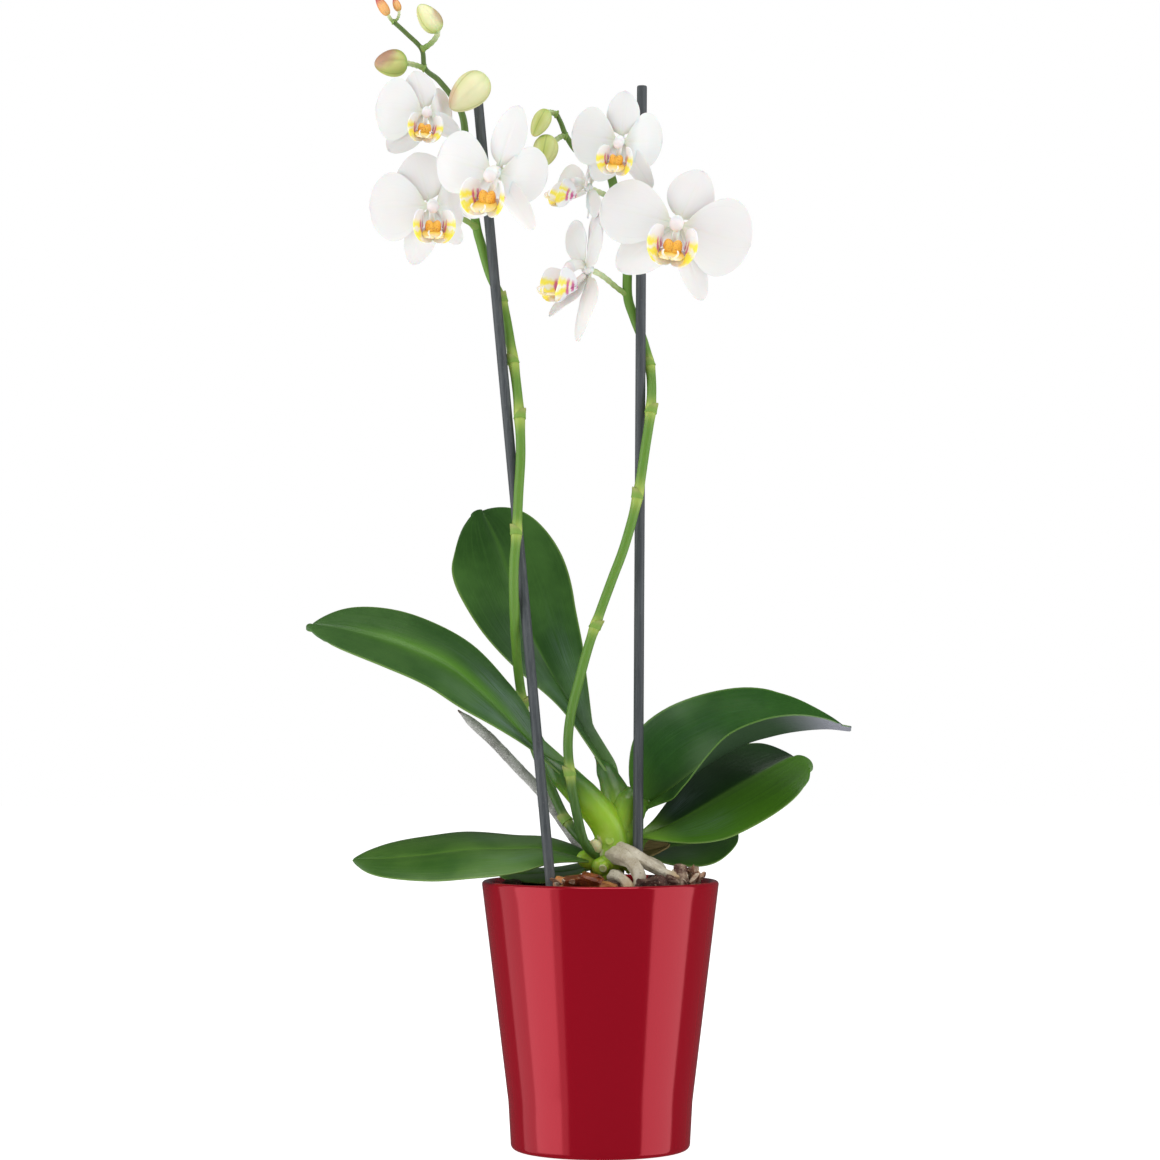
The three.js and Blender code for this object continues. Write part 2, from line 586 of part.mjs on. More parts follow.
// A tepal's keel in the bloom's frame, swept back by an angle.
function tepalShape(tepal) {
  const out = new THREE.Vector3(Math.sin(radians(tepal.angle)), Math.cos(radians(tepal.angle)), 0);
  const away = radians(tepal.sweep);
  const line = [0.04, 0.35, 0.68, 1].map((t) => {
    const far = tepal.length * t;
    const share = Math.min(1, t * 1.6);
    const bow = tepal.bow * Math.sin(Math.PI * Math.min(1, t * 0.9));
    const rise = tepal.depth + bow - far * Math.sin(away) * share;
    return out.clone().multiplyScalar(far * lerp(1, Math.cos(away), share)).setZ(rise).toArray();
  });
  const face = new THREE.Vector3(0, 0, 1).addScaledVector(out, Math.sin(away));
  return { ...tepal, keel: spline(line), faces: [new THREE.Vector3(0, 0, 1), face], wave: 0.6, waves: 2.4 };
}

// A ball in the bloom's frame.
function ball(spot, radii, matrix, sides = 8, rings = 6) {
  const geometry = new THREE.SphereGeometry(1, sides, rings).toNonIndexed();
  geometry.applyMatrix4(new THREE.Matrix4().makeScale(...radii)).translate(...spot);
  return solidOf(geometry.applyMatrix4(matrix));
}

function localRod(points, radiusAt, matrix, sides, steps) {
  const placed = points.map((p) => point(p).applyMatrix4(matrix).toArray());
  const scale = matrix.getMaxScaleOnAxis();
  return rod(spline(placed), (t) => radiusAt(t) * scale, sides, steps);
}

function receptacle(matrix, grow) {
  const radius = RECEPTACLE_RADIUS + grow / matrix.getMaxScaleOnAxis();
  return ball([0, 0, 0], [radius, radius, radius], matrix, 6, 4);
}

function tepals(bloom, matrix) {
  const thickness = TEPAL_THICKNESS / bloom.size;
  const blades = tepalSet(bloom).map((tepal) => {
    return blade(tepalShape(tepal), thickness, tepal.rows, tepal.columns, matrix);
  });
  return fuse([receptacle(matrix, 0), ...blades]);
}

// The lip: a claw and its callus, two side lobes that cup the column, and the pointed middle lobe with two tendrils.
const LOBE_KEEL = [[0.8, -13, 9.2], [4.5, -18.5, 12], [8, -16.5, 15.5], [9, -9, 16], [7, -3, 15]];

function lip(bloom, matrix) {
  const thickness = LIP_THICKNESS / bloom.size;
  const claw = localRod([[0, -3.8, 0.8], [0, -12.5, 9]], () => 1.9, matrix, 5, 1);
  const callus = ball([0, -12.6, 9.4], [3, 2.8, 3], matrix, 5, 3);
  const lobes = [1, -1].map((side) =>
    blade(
      {
        keel: spline(LOBE_KEEL.map(([x, y, z]) => [side * x, y, z])),
        faces: [new THREE.Vector3(-side * 0.35, 0.85, 0.35), new THREE.Vector3(-side * 0.9, -0.1, 0.35)],
        start: 0.08, root: 1.4, tip: 2.6, width: 6.8, skew: 1.05, blunt: 0.6, arch: 0.1,
      },
      thickness, 5, 2, matrix,
    ),
  );
  const middle = blade(
    {
      keel: spline([[0, -12.6, 9.4], [0, -16, 14], [0, -19, 20], [0, -20.5, 26]]),
      faces: [new THREE.Vector3(0, 1, 0.4), new THREE.Vector3(0, 1, 0.25)],
      start: 0.08, root: 1.4, tip: 1.2, width: 5.6, skew: 0.9, blunt: 1, arch: 0.15,
    },
    thickness * 1.3, 3, 2, matrix,
  );
  const tendrils = [1, -1].map((side) => {
    const line = [[side * 0.6, -20.4, 25], [side * 4, -19, 29.5], [side * 6.5, -14.5, 29]];
    return localRod(line, (t) => lerp(1, 0.6, t), matrix, 3, 2);
  });
  return fuse([claw, callus, ...lobes, middle, ...tendrils]);
}

// The column: a short arm over the lip, ending in its round anther cap.
function column(matrix) {
  const radii = [2.2, 2.7, 3.5, 3, 1.2];
  const line = [[0, 1.4, 2], [0, 1.8, 6], [0, 0.6, 10], [0, -1.2, 13]];
  return localRod(line, (t) => radii[Math.round(t * 4)], matrix, 5, 4);
}

// The stalk from a spike to the back of a bloom or to a bud's foot, arriving along "way".
function stalk(from, to, way, radii, bend = 14, steps = 8) {
  const start = point(from);
  const end = point(to);
  const level = end.clone().sub(start).setZ(0).normalize();
  const leaving = start.clone().addScaledVector(level, bend * 0.8).add(new THREE.Vector3(0, 0, bend * 0.3));
  const arriving = end.clone().addScaledVector(way, -bend);
  const curve = new THREE.CubicBezierCurve3(start, leaving, arriving, end);
  return rod(curve, (t) => lerp(radii[0], radii[1], t), 5, steps - 1);
}

function bloomStalk(bloom) {
  const matrix = bloomMatrix(bloom);
  const out = new THREE.Vector3(0, 0, 1).transformDirection(matrix);
  const reach = point(bloom.from).distanceTo(point(bloom.middle));
  return stalk(bloom.from, bloom.middle, out, [1.5, 1.7], reach * 0.42, reach < 30 ? 4 : 6);
}

// Buds: where the stalk leaves the spike, the bud's foot, its tip and its radius.
const BUDS = {
  left_1: {
    side: "left", from: [-83.5, 6, 600], foot: [-65.5, -12, 611],
    tip: [-85, -20, 591], radius: 9.4, way: [0.6, -0.8, 0.1],
  },
  left_2: { side: "left", from: [-101, 5, 619], foot: [-111, 2, 622], tip: [-130, 0, 620.5], radius: 7.6 },
  left_3: {
    side: "left", from: [-103, 4, 630], foot: [-93, 3, 640],
    tip: [-104.5, 0, 655], radius: 6.2, way: [-0.75, 0, 0.66],
  },
  left_4: {
    side: "left", from: [-119, 2, 645.5], foot: [-122, 1, 649],
    tip: [-129, -1, 660], radius: 2.8, finish: "bud_tip",
  },
  left_5: {
    side: "left", from: [-119, 2, 645.5], foot: [-116, 3.5, 652],
    tip: [-119, 5, 660], radius: 2.2, finish: "bud_tip",
  },
  right_1: { side: "right", from: [-25, 8.4, 593], foot: [-30.5, 6, 595], tip: [-38.5, 0, 579], radius: 5 },
  right_2: {
    side: "right", from: [-19.5, 12.5, 581], foot: [-30, 10, 580],
    tip: [-33.5, 0, 562], radius: 7, way: [-0.9, -0.2, 0.1],
  },
};

function budStalk(bud) {
  const axis = point(bud.tip).sub(point(bud.foot)).normalize();
  const way = bud.way ? point(bud.way).normalize() : axis;
  const end = point(bud.foot).addScaledVector(axis, bud.radius * 0.6);
  const far = point(bud.from).distanceTo(end);
  const thick = Math.min(1.2, bud.radius * 0.35);
  return stalk(bud.from, end.toArray(), way, [thick, thick * 1.1], far * 0.45, far > 10 ? 5 : 3);
}

// A bud grown all round by the gap, the room its stalk is cut back to.
function eggAround({ foot, tip, radius }) {
  const axis = point(tip).sub(point(foot)).normalize().multiplyScalar(GAP);
  return egg(point(foot).sub(axis).toArray(), point(tip).add(axis).toArray(), radius + GAP);
}

// A bract: a scale that clasps the joint and stands up along one side of the stem.
function bract(curve, at, lean) {
  const spot = curve.getPoint(at);
  const along = curve.getTangent(at);
  const side = new THREE.Vector3(lean, -0.3, 0).cross(along).cross(along).negate().normalize();
  const radii = [1, STEM_RADIUS * 1.3, STEM_RADIUS * 0.8, 0.5];
  const line = [[-3, 0], [0, 0.3], [4, 2], [9, 3.2]].map(([up, out]) =>
    spot.clone().addScaledVector(along, up).addScaledVector(side, out).toArray(),
  );
  return rod(spline(line), (t) => radii[Math.round(t * 3)], 4, 3);
}

// One spike with its bracts and all its stalks, fused.
function spike(side, grow = 0) {
  const { line, bracts, narrows } = SPIKES[side];
  const curve = spline(line);
  const radiusAt = (t) => lerp(STEM_RADIUS, TIP_RADIUS, smoothstep(t, ...narrows)) + grow;
  const stem = rod(curve, radiusAt, 6, line.length - 1);
  const collars = bracts.map((at, k) => bract(curve, at, k % 2 ? 1 : -1));
  const flowers = Object.values(BLOOMS).filter((bloom) => bloom.side === side).map(bloomStalk);
  const buds = Object.values(BUDS).filter((bud) => bud.side === side).map(budStalk);
  return fuse([stem, ...collars, ...flowers, ...buds]);
}

const DRY_SHEATH = {
  keel: [[12, 6, 168], [22, 9, 170], [31, 9, 171.5], [39, 7, 173.5]],
  faces: [[0, -0.7, 0.7], [0, -0.7, 0.7]],
  start: 0, width: 3, root: 3, skew: 0.8, blunt: 0.8, rootFold: 30, fold: 25, arch: 0.1,
};

function drySheath() {
  return blade({ ...DRY_SHEATH, keel: spline(DRY_SHEATH.keel), faces: DRY_SHEATH.faces.map(point) }, 1.2, 4, 4);
}

// Assembly: what carries comes first, and each later piece is cut clear of it by the gap.
place("cover_pot", "glaze", coverPot());
place("grow_pot", "clear_plastic", growPot());
place("crown", "crown", crownBody(0));
const crownRoom = crownBody(GAP);
const rootRoom = [rootBundle(GAP), taperedRoot(RIGHT_ROOT, GAP, 5)];
place("roots", "root", rootBundle(0), [crownRoom]);
place("root_right", "root", taperedRoot(RIGHT_ROOT, 0, 5), [crownRoom]);
place("aerial_root", "aerial_root", aerialRoot(0), [crownRoom]);
for (const [name, sizes] of Object.entries(STICKS)) place(name, "stick", stick(sizes, STICK_RADIUS));
const stickRoom = Object.values(STICKS).map((sizes) => stick(sizes, STICK_RADIUS + GAP, STICK_FOOT - GAP));
const seats = Object.values(BLOOMS).map((bloom) => receptacle(bloomMatrix(bloom), GAP));
const budRoom = Object.values(BUDS).map((bud) => eggAround(bud));
for (const side of ["left", "right"]) place(`spike_${side}`, "spike", spike(side), [crownRoom, ...seats, ...budRoom]);
const leafRoom = [];
for (const [name, sizes] of Object.entries(LEAVES)) {
  place(name, "leaf", leaf(sizes), [crownRoom, ...leafRoom]);
  leafRoom.push(leaf(sizes, LEAF_THICKNESS + 2 * GAP));
}
place("dry_sheath", "dry_sheath", drySheath(), [crownRoom, ...leafRoom]);
place("bark", "bark", barkBed(), [crownRoom, ...rootRoom, ...stickRoom]);
for (const [name, bloom] of Object.entries(BLOOMS)) {
  const matrix = bloomMatrix(bloom);
  const seat = receptacle(matrix, GAP);
  place(`bloom_${name}_tepals`, "tepal", tepals(bloom, matrix));
  place(`bloom_${name}_lip`, "lip", lip(bloom, matrix), [seat]);
  place(`bloom_${name}_column`, "column", column(matrix), [seat]);
}
for (const [name, { foot, tip, radius, finish }] of Object.entries(BUDS)) {
  place(`bud_${name}`, finish ?? "bud", egg(foot, tip, radius));
}

export default orchid;
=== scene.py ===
"""Potted moth orchid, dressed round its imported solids: metres, +Z up, seen from -Y.

Shapes are worked out in millimetres, with the same keels and outlines as the solids, and are brought to
metres when each piece is finished.
"""
import logging
import math
import random
from dataclasses import dataclass
from enum import Enum
from typing import Any, Callable, Iterable, Sequence

import bmesh
import bpy
from mathutils import Matrix, Quaternion, Vector, noise


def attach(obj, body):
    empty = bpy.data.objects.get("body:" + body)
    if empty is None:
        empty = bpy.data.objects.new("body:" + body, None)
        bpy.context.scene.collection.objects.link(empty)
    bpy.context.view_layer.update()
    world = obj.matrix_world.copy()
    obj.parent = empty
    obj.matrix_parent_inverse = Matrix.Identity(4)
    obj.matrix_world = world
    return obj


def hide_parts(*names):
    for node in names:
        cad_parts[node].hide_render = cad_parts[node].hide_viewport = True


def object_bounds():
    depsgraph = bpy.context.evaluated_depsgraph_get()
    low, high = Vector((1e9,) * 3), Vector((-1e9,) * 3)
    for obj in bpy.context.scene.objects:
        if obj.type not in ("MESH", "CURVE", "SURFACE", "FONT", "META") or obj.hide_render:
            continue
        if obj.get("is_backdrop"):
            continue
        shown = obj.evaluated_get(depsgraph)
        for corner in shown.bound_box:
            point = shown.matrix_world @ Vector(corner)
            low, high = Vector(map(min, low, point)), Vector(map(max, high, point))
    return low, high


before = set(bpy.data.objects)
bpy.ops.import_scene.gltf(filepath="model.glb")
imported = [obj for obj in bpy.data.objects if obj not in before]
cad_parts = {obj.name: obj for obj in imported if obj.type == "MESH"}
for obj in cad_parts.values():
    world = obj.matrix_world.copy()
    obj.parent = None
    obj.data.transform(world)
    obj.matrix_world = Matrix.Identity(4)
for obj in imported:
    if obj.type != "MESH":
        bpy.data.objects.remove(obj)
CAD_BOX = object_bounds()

log = logging.getLogger("orchid")

# Metres in a millimetre, the body that every piece rides on, the names of the UV map and of the points' own
# tone, and the distance in millimetres below which two points are one.
MM = 0.001
BODY = "root"
SPAN = "span"
TONE = "tone"
WELD = 1e-4

Point = Sequence[float]
Form = bmesh.types.BMesh
Vert = bmesh.types.BMVert
Face = bmesh.types.BMFace
Material = bpy.types.Material
Socket = bpy.types.NodeSocket
Colour = tuple[float, float, float, float]
Radius = Callable[[float, float], float]


# Numbers and lines


def lerp(low: float, high: float, share: float) -> float:
    """The number a share of the way from low to high."""
    return low + (high - low) * share


def smoothstep(value: float, low: float, high: float) -> float:
    """A soft step from 0 below low to 1 above high."""
    share = min(1.0, max(0.0, (value - low) / (high - low)))
    return share * share * (3 - 2 * share)


def bell(value: float, middle: float, spread: float) -> float:
    """A soft bump of height 1 round a middle value."""
    return math.exp(-(((value - middle) / spread) ** 2))


def round_end(share: float, start: float) -> float:
    """A factor that is 1 up to the start and rounds off to 0 where the share is 1."""
    return math.sqrt(max(0.0, 1 - max(0.0, (share - start) / (1 - start)) ** 2))


def read_at(values: Sequence[float], share: float) -> float:
    """A number read from values at even steps, soft from each to the next, at a share from 0 to 1.

    Args:
        values: the numbers, at even steps.
        share: how far along, 0 to 1.

    Returns:
        The number.
    """
    place = share * (len(values) - 1)
    first = min(len(values) - 2, int(place))
    return lerp(values[first], values[first + 1], smoothstep(place - first, 0, 1))


def srgb(red: float, green: float, blue: float) -> Colour:
    """A screen colour, 0 to 255, as a linear colour.

    Args:
        red: its red, 0 to 255.
        green: its green, 0 to 255.
        blue: its blue, 0 to 255.

    Returns:
        The colour, with its alpha.
    """

    def linear(channel: float) -> float:
        share = channel / 255
        return share / 12.92 if share <= 0.04045 else ((share + 0.055) / 1.055) ** 2.4

    return (linear(red), linear(green), linear(blue), 1.0)


def grain(spot: Vector, size: float, seed: float = 0.0) -> float:
    """Smooth noise from -1 to 1 at a point in millimetres, with features of that size."""
    return noise.noise(spot / size + Vector((seed, -seed, 2 * seed)))


class Line:
    """A smooth line through points, at even steps from one point to the next."""

    def __init__(self, points: Iterable[Point]) -> None:
        """Keeps the points as vectors."""
        self.points = [Vector(p) for p in points]

    def at(self, share: float) -> Vector:
        """A point on the smooth curve through the line's points.

        Args:
            share: how far along it lies, 0 to 1.

        Returns:
            The point.
        """
        points = self.points
        last = len(points) - 1
        place = min(1.0, max(0.0, share)) * last
        first = min(last - 1, int(place))
        weight = place - first
        b, c = points[first], points[first + 1]
        a = points[first - 1] if first else b * 2 - c
        d = points[first + 2] if first + 2 <= last else c * 2 - b
        lead, trail = (c - a) * 0.5, (d - b) * 0.5
        square = (c - b) * 3 - lead * 2 - trail
        cube = (b - c) * 2 + lead + trail
        return b + lead * weight + square * weight**2 + cube * weight**3

    def along(self, share: float, step: float = 1e-3) -> Vector:
        """The direction of the line at a share of its way."""
        return (self.at(share + step) - self.at(share - step)).normalized()

    def frames(self, steps: int) -> list[tuple[Vector, Vector, Vector]]:
        """Points of the line, each with two directions across it that turn as little as they can.

        Args:
            steps: how many steps the line is cut into.

        Returns:
            The point and its two directions at each step.
        """
        first = self.along(0)
        spare = Vector((0, 0, 1)) if abs(first.z) < 0.8 else Vector((1, 0, 0))
        side = spare.cross(first).normalized()
        made = []
        for step in range(steps + 1):
            along = self.along(step / steps)
            side = (side - along * side.dot(along)).normalized()
            made.append((self.at(step / steps), side, along.cross(side)))
        return made


# Shapes in bmesh


def new_mesh() -> Form:
    """An empty bmesh with a UV map and a tone for its points."""
    bm = bmesh.new()
    bm.loops.layers.uv.new(SPAN)
    bm.verts.layers.float.new(TONE)
    return bm


def absorb(bm: Form, part: Form) -> None:
    """Moves all of a part's shape into a mesh.

    Args:
        bm: the mesh to add to.
        part: the part, which is freed.
    """
    scrap = bpy.data.meshes.new("scrap")
    part.to_mesh(scrap)
    part.free()
    bm.from_mesh(scrap)
    bpy.data.meshes.remove(scrap)


def grid(bm: Form, columns: int, rows: int) -> list[Vert]:
    """Adds a flat grid over the unit square, with its UV map.

    Args:
        bm: the mesh to add to.
        columns: its faces across.
        rows: its faces along.

    Returns:
        The grid's points.
    """
    made = bmesh.ops.create_grid(bm, x_segments=columns, y_segments=rows, size=0.5, calc_uvs=True)
    bmesh.ops.translate(bm, verts=made["verts"], vec=(0.5, 0.5, 0))
    return made["verts"]


def faces_of(verts: Iterable[Vert]) -> list[Face]:
    """The faces that the points carry, each once."""
    return list({face for vert in verts for face in vert.link_faces})


def tube(
    bm: Form,
    line: Line,
    radius: Radius,
    sides: int,
    steps: int,
    tone: Callable[[float], float] = lambda t: 0.0,
    shares: Callable[[float], float] = lambda t: t,
) -> list[Vert]:
    """Adds a closed tube round a line.

    Args:
        bm: the mesh to add to.
        line: the tube's middle.
        radius: its radius at a share of the way along and a turn round it, both 0 to 1.
        sides: its sides.
        steps: its rings.
        tone: the tone of its points at a share of the way.
        shares: where along the line each ring lies.

    Returns:
        The tube's points.
    """
    level = bm.verts.layers.float[TONE]
    verts = grid(bm, sides, steps)
    fine = steps * 4
    frames = line.frames(fine)
    rings = {}
    for vert in verts:
        turn, row = vert.co.x, round(vert.co.y * steps)
        share = shares(row / steps)
        if row not in rings:
            along = line.along(share)
            side = frames[round(share * fine)][1]
            side = (side - along * side.dot(along)).normalized()
            rings[row] = (line.at(share), side, along.cross(side))
        spot, side, up = rings[row]
        angle = 2 * math.pi * turn
        reach = radius(share, turn % 1.0)
        vert.co = spot + (side * math.cos(angle) + up * math.sin(angle)) * reach
        vert[level] = tone(share)
    faces = faces_of(verts)
    seam = {v for v in verts if v.is_boundary}
    bmesh.ops.remove_doubles(bm, verts=list(seam), dist=WELD)
    kept = list({v for f in faces if f.is_valid for v in f.verts})
    rims = list({e for v in kept for e in v.link_edges if e.is_boundary})
    bmesh.ops.holes_fill(bm, edges=rims, sides=0)
    bmesh.ops.recalc_face_normals(bm, faces=faces_of(kept))
    return kept


def shell(
    bm: Form,
    columns: int,
    rows: int,
    middle: Callable[[float, float], Vector],
    half: Radius,
    shares: Callable[[float], float] = lambda t: t,
    tone: Callable[[float, float, int], float] = lambda t, u, way: 0.0,
) -> None:
    """Adds a closed thin sheet on both sides of a middle surface.

    Args:
        bm: the mesh to add to.
        columns: its faces across.
        rows: its faces along.
        middle: the surface at t, 0 to 1 along, and u, -1 to 1 across.
        half: half of its thickness there.
        shares: the t of each row.
        tone: the tone of its points; its last number is 1 on the side that a blade faces, else -1.
    """
    part = new_mesh()
    height = part.verts.layers.float[TONE]
    number = part.verts.layers.int.new("number")
    verts = grid(part, columns, rows)
    spans = []
    for count, vert in enumerate(verts):
        u, t = vert.co.x * 2 - 1, shares(vert.co.y)
        spans.append((t, u))
        vert.co = middle(t, u)
        vert[number] = count
    part.normal_update()
    spots = [vert.co.copy() for vert in verts]
    normals = [vert.normal.copy() for vert in verts]
    over = set(verts)
    # The sheet is doubled at any thickness, and each point then gets its own.
    bmesh.ops.solidify(part, geom=part.faces[:], thickness=0.1)
    for vert in part.verts:
        k = vert[number]
        way = 1 if vert in over else -1
        vert.co = spots[k] + normals[k] * (way * half(*spans[k]))
        vert[height] = tone(*spans[k], -way)
    bmesh.ops.recalc_face_normals(part, faces=part.faces[:])
    part.verts.layers.int.remove(number)
    absorb(bm, part)


def egg_form(
    bm: Form,
    foot: Vector,
    tip: Vector,
    radius: Radius,
    sides: int,
    steps: int,
) -> list[Vert]:
    """Adds a closed round form.

    Args:
        bm: the mesh to add to.
        foot: one end of its axis.
        tip: the other end.
        radius: its radius at a share of the way along and a turn round it, both 0 to 1.
        sides: its sides.
        steps: its rings.

    Returns:
        The form's points.
    """
    line = Line([foot, foot.lerp(tip, 0.5), tip])
    return tube(bm, line, radius, sides, steps, shares=lambda t: 0.5 - 0.5 * math.cos(math.pi * t))


def finish_piece(
    bm: Form,
    name: str,
    material: Material,
    nodes: Sequence[str],
    slot: str,
    sharp: float = 60.0,
) -> None:
    """Makes a bmesh in millimetres one finished piece in metres, riding on the part.

    Args:
        bm: the mesh, which is freed.
        name: the piece's name.
        material: its finish.
        nodes: the solids that it stands for.
        slot: its material slot, not used.
        sharp: the angle in degrees past which an edge stays crisp.
    """
    bmesh.ops.scale(bm, vec=(MM, MM, MM), verts=bm.verts[:])
    mesh = bpy.data.meshes.new(name)
    bm.to_mesh(mesh)
    bm.free()
    mesh.shade_smooth()
    mesh.set_sharp_from_angle(angle=math.radians(sharp))
    mesh.materials.append(material)
    piece = bpy.data.objects.new(name, mesh)
    bpy.context.scene.collection.objects.link(piece)
    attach(piece, BODY)
    if nodes:
        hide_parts(*nodes)
    log.info("%s: %d faces, stands for %s", name, len(mesh.polygons), ", ".join(nodes) or "nothing")


# Shader maths


class Value:
    """A shader socket with arithmetic: an expression on values adds its Math nodes."""

    def __init__(self, paint: "Paint", socket: Socket) -> None:
        """Wraps a socket of a paint's node tree."""
        self.paint = paint
        self.socket = socket

    def _math(self, operation: str, *others: Any) -> "Value":
        """This value and others through one Math node."""
        return self.paint.maths(operation, self, *others)

    def __add__(self, other: Any) -> "Value":
        """This value plus another."""
        return self._math("ADD", other)

    __radd__ = __add__

    def __mul__(self, other: Any) -> "Value":
        """This value times another."""
        return self._math("MULTIPLY", other)

    __rmul__ = __mul__

    def __sub__(self, other: Any) -> "Value":
        """This value less another."""
        return self._math("SUBTRACT", other)

    def __rsub__(self, other: Any) -> "Value":
        """Another value less this one."""
        return self.paint.maths("SUBTRACT", other, self)

    def __truediv__(self, other: Any) -> "Value":
        """This value over another."""
        return self._math("DIVIDE", other)

    def __abs__(self) -> "Value":
        """This value without its sign."""
        return self._math("ABSOLUTE")

    def sine(self) -> "Value":
        """The sine of this value."""
        return self._math("SINE")

    def step(self, low: float, high: float) -> "Value":
        """A soft step of this value.

        Args:
            low: the value at which the step is 0.
            high: the value at which it is 1, above or below the other.

        Returns:
            The step.
        """
        kind = {"interpolation_type": "SMOOTHSTEP", "clamp": True}
        ends = (low, high, 0.0, 1.0) if low < high else (high, low, 1.0, 0.0)
        made = self.paint.node("ShaderNodeMapRange", kind, dict(enumerate((self, *ends))))
        return Value(self.paint, made.outputs[0])

    def bump_at(self, middle: float, spread: float) -> "Value":
        """A soft ridge of height 1 where this value is near the middle."""
        away = (self - middle) / spread
        return (away * away * -1.0)._math("EXPONENT")


class NodeTree:
    """A node tree of a material or the world, with one method that adds its nodes."""

    def __init__(self, owner: Material | bpy.types.World) -> None:
        """Clears the owner's node tree."""
        owner.use_nodes = True
        self.tree = owner.node_tree
        self.tree.nodes.clear()

    def node(
        self,
        kind: str,
        settings: dict[str, Any] | None = None,
        inputs: dict[Any, Any] | None = None,
    ) -> bpy.types.Node:
        """Adds a node.

        Args:
            kind: its type.
            settings: its own settings, set first; "stops" are a ramp's (position, colour) pairs.
            inputs: a value, a colour, a Value or a socket for each input's name or number.

        Returns:
            The node.
        """
        made = self.tree.nodes.new(kind)
        for key, value in (settings or {}).items():
            if key == "stops":
                self._set_stops(made.color_ramp, value)
            else:
                setattr(made, key, value)
        for key, value in (inputs or {}).items():
            self.feed(made.inputs[key], value)
        return made

    def feed(self, socket: Socket, value: Any) -> None:
        """Links or sets one input.

        Args:
            socket: the input.
            value: a Value or a socket to link, or a value to set.
        """
        if isinstance(value, Value):
            self.tree.links.new(value.socket, socket)
        elif isinstance(value, Socket):
            self.tree.links.new(value, socket)
        else:
            socket.default_value = value

    @staticmethod
    def _set_stops(ramp: bpy.types.ColorRamp, stops: Sequence[tuple[float, Colour]]) -> None:
        """Gives a ramp its stops.

        Args:
            ramp: the ramp.
            stops: the position and the colour of each.
        """
        while len(ramp.elements) < len(stops):
            ramp.elements.new(1.0)
        for element, (place, colour) in zip(ramp.elements, stops):
            element.position = place
            element.color = colour


class Paint(NodeTree):
    """One material's node tree, round a Principled shader."""

    def __init__(self, name: str) -> None:
        """Makes the material with its shader and its output."""
        self.material = bpy.data.materials.new(name)
        super().__init__(self.material)
        self.surface = self.node("ShaderNodeBsdfPrincipled")
        self.node("ShaderNodeOutputMaterial", None, {0: self.surface.outputs[0]})

    def maths(self, operation: str, *values: Any) -> Value:
        """One Math node over values and numbers."""
        made = self.node("ShaderNodeMath", {"operation": operation}, dict(enumerate(values)))
        return Value(self, made.outputs[0])

    def place(self) -> Socket:
        """The piece's own coordinates, in metres."""
        return self.node("ShaderNodeTexCoord").outputs["Object"]

    def scaled(self, scale: Point) -> Socket:
        """The piece's own coordinates, each way at its own scale."""
        return self.node("ShaderNodeMapping", None, {0: self.place(), 3: tuple(scale)}).outputs[0]

    def span(self) -> tuple[Value, Value]:
        """How far across, -1 to 1, and how far along, 0 to 1, a point of a blade is."""
        parts = self.node("ShaderNodeSeparateXYZ", None, {0: self.span_vector()})
        return Value(self, parts.outputs[0]) * 2.0 - 1.0, Value(self, parts.outputs[1])

    def span_vector(self) -> Socket:
        """The piece's own UV map."""
        return self.node("ShaderNodeUVMap", {"uv_map": SPAN}).outputs[0]

    def stretched_span(self, across: float, along: float) -> Socket:
        """The piece's UV map, stretched each way, for streaks."""
        stretch = (across, along, 1)
        return self.node("ShaderNodeMapping", None, {0: self.span_vector(), 3: stretch}).outputs[0]

    def tone(self) -> Value:
        """The tone kept on the piece's points."""
        return Value(self, self.node("ShaderNodeAttribute", {"attribute_name": TONE}).outputs["Fac"])

    def axes(self) -> tuple[Value, Value, Value]:
        """The piece's own coordinates one by one, in millimetres."""
        parts = self.node("ShaderNodeSeparateXYZ", None, {0: self.place()})
        x, y, z = (Value(self, parts.outputs[k]) * 1000.0 for k in range(3))
        return x, y, z

    def noise(self, vector: Socket, scale: float, detail: float = 3.0, rough: float = 0.55) -> Value:
        """Smooth noise from 0 to 1.

        Args:
            vector: the coordinates that it reads.
            scale: its features to the unit.
            detail: its finer layers.
            rough: how strong the finer layers are.

        Returns:
            The noise.
        """
        inputs = {"Vector": vector, "Scale": scale, "Detail": detail, "Roughness": rough}
        return Value(self, self.node("ShaderNodeTexNoise", None, inputs).outputs[0])

    def mix(self, share: Any, first: Any, second: Any) -> Socket:
        """Two colours mixed by a share from 0 to 1."""
        kind = {"data_type": "RGBA", "blend_type": "MIX", "clamp_factor": True}
        return self.node("ShaderNodeMix", kind, {0: share, 6: first, 7: second}).outputs[2]

    def ramp(self, value: Any, stops: Sequence[tuple[float, Colour]]) -> Socket:
        """A colour read from stops by a value from 0 to 1."""
        return self.node("ShaderNodeValToRGB", {"stops": stops}, {0: value}).outputs[0]

    def bump(self, height: Value, depth: float) -> None:
        """Raises the surface by a height from 0 to 1, of a depth in millimetres."""
        inputs = {"Height": height, "Distance": depth * MM, "Strength": 1.0}
        self.set(Normal=self.node("ShaderNodeBump", None, inputs).outputs[0])

    def set(self, **sockets: Any) -> None:
        """Sets the shader's inputs by name, with an underscore for each space."""
        for name, value in sockets.items():
            self.feed(self.surface.inputs[name.replace("_", " ")], value)


# Finishes


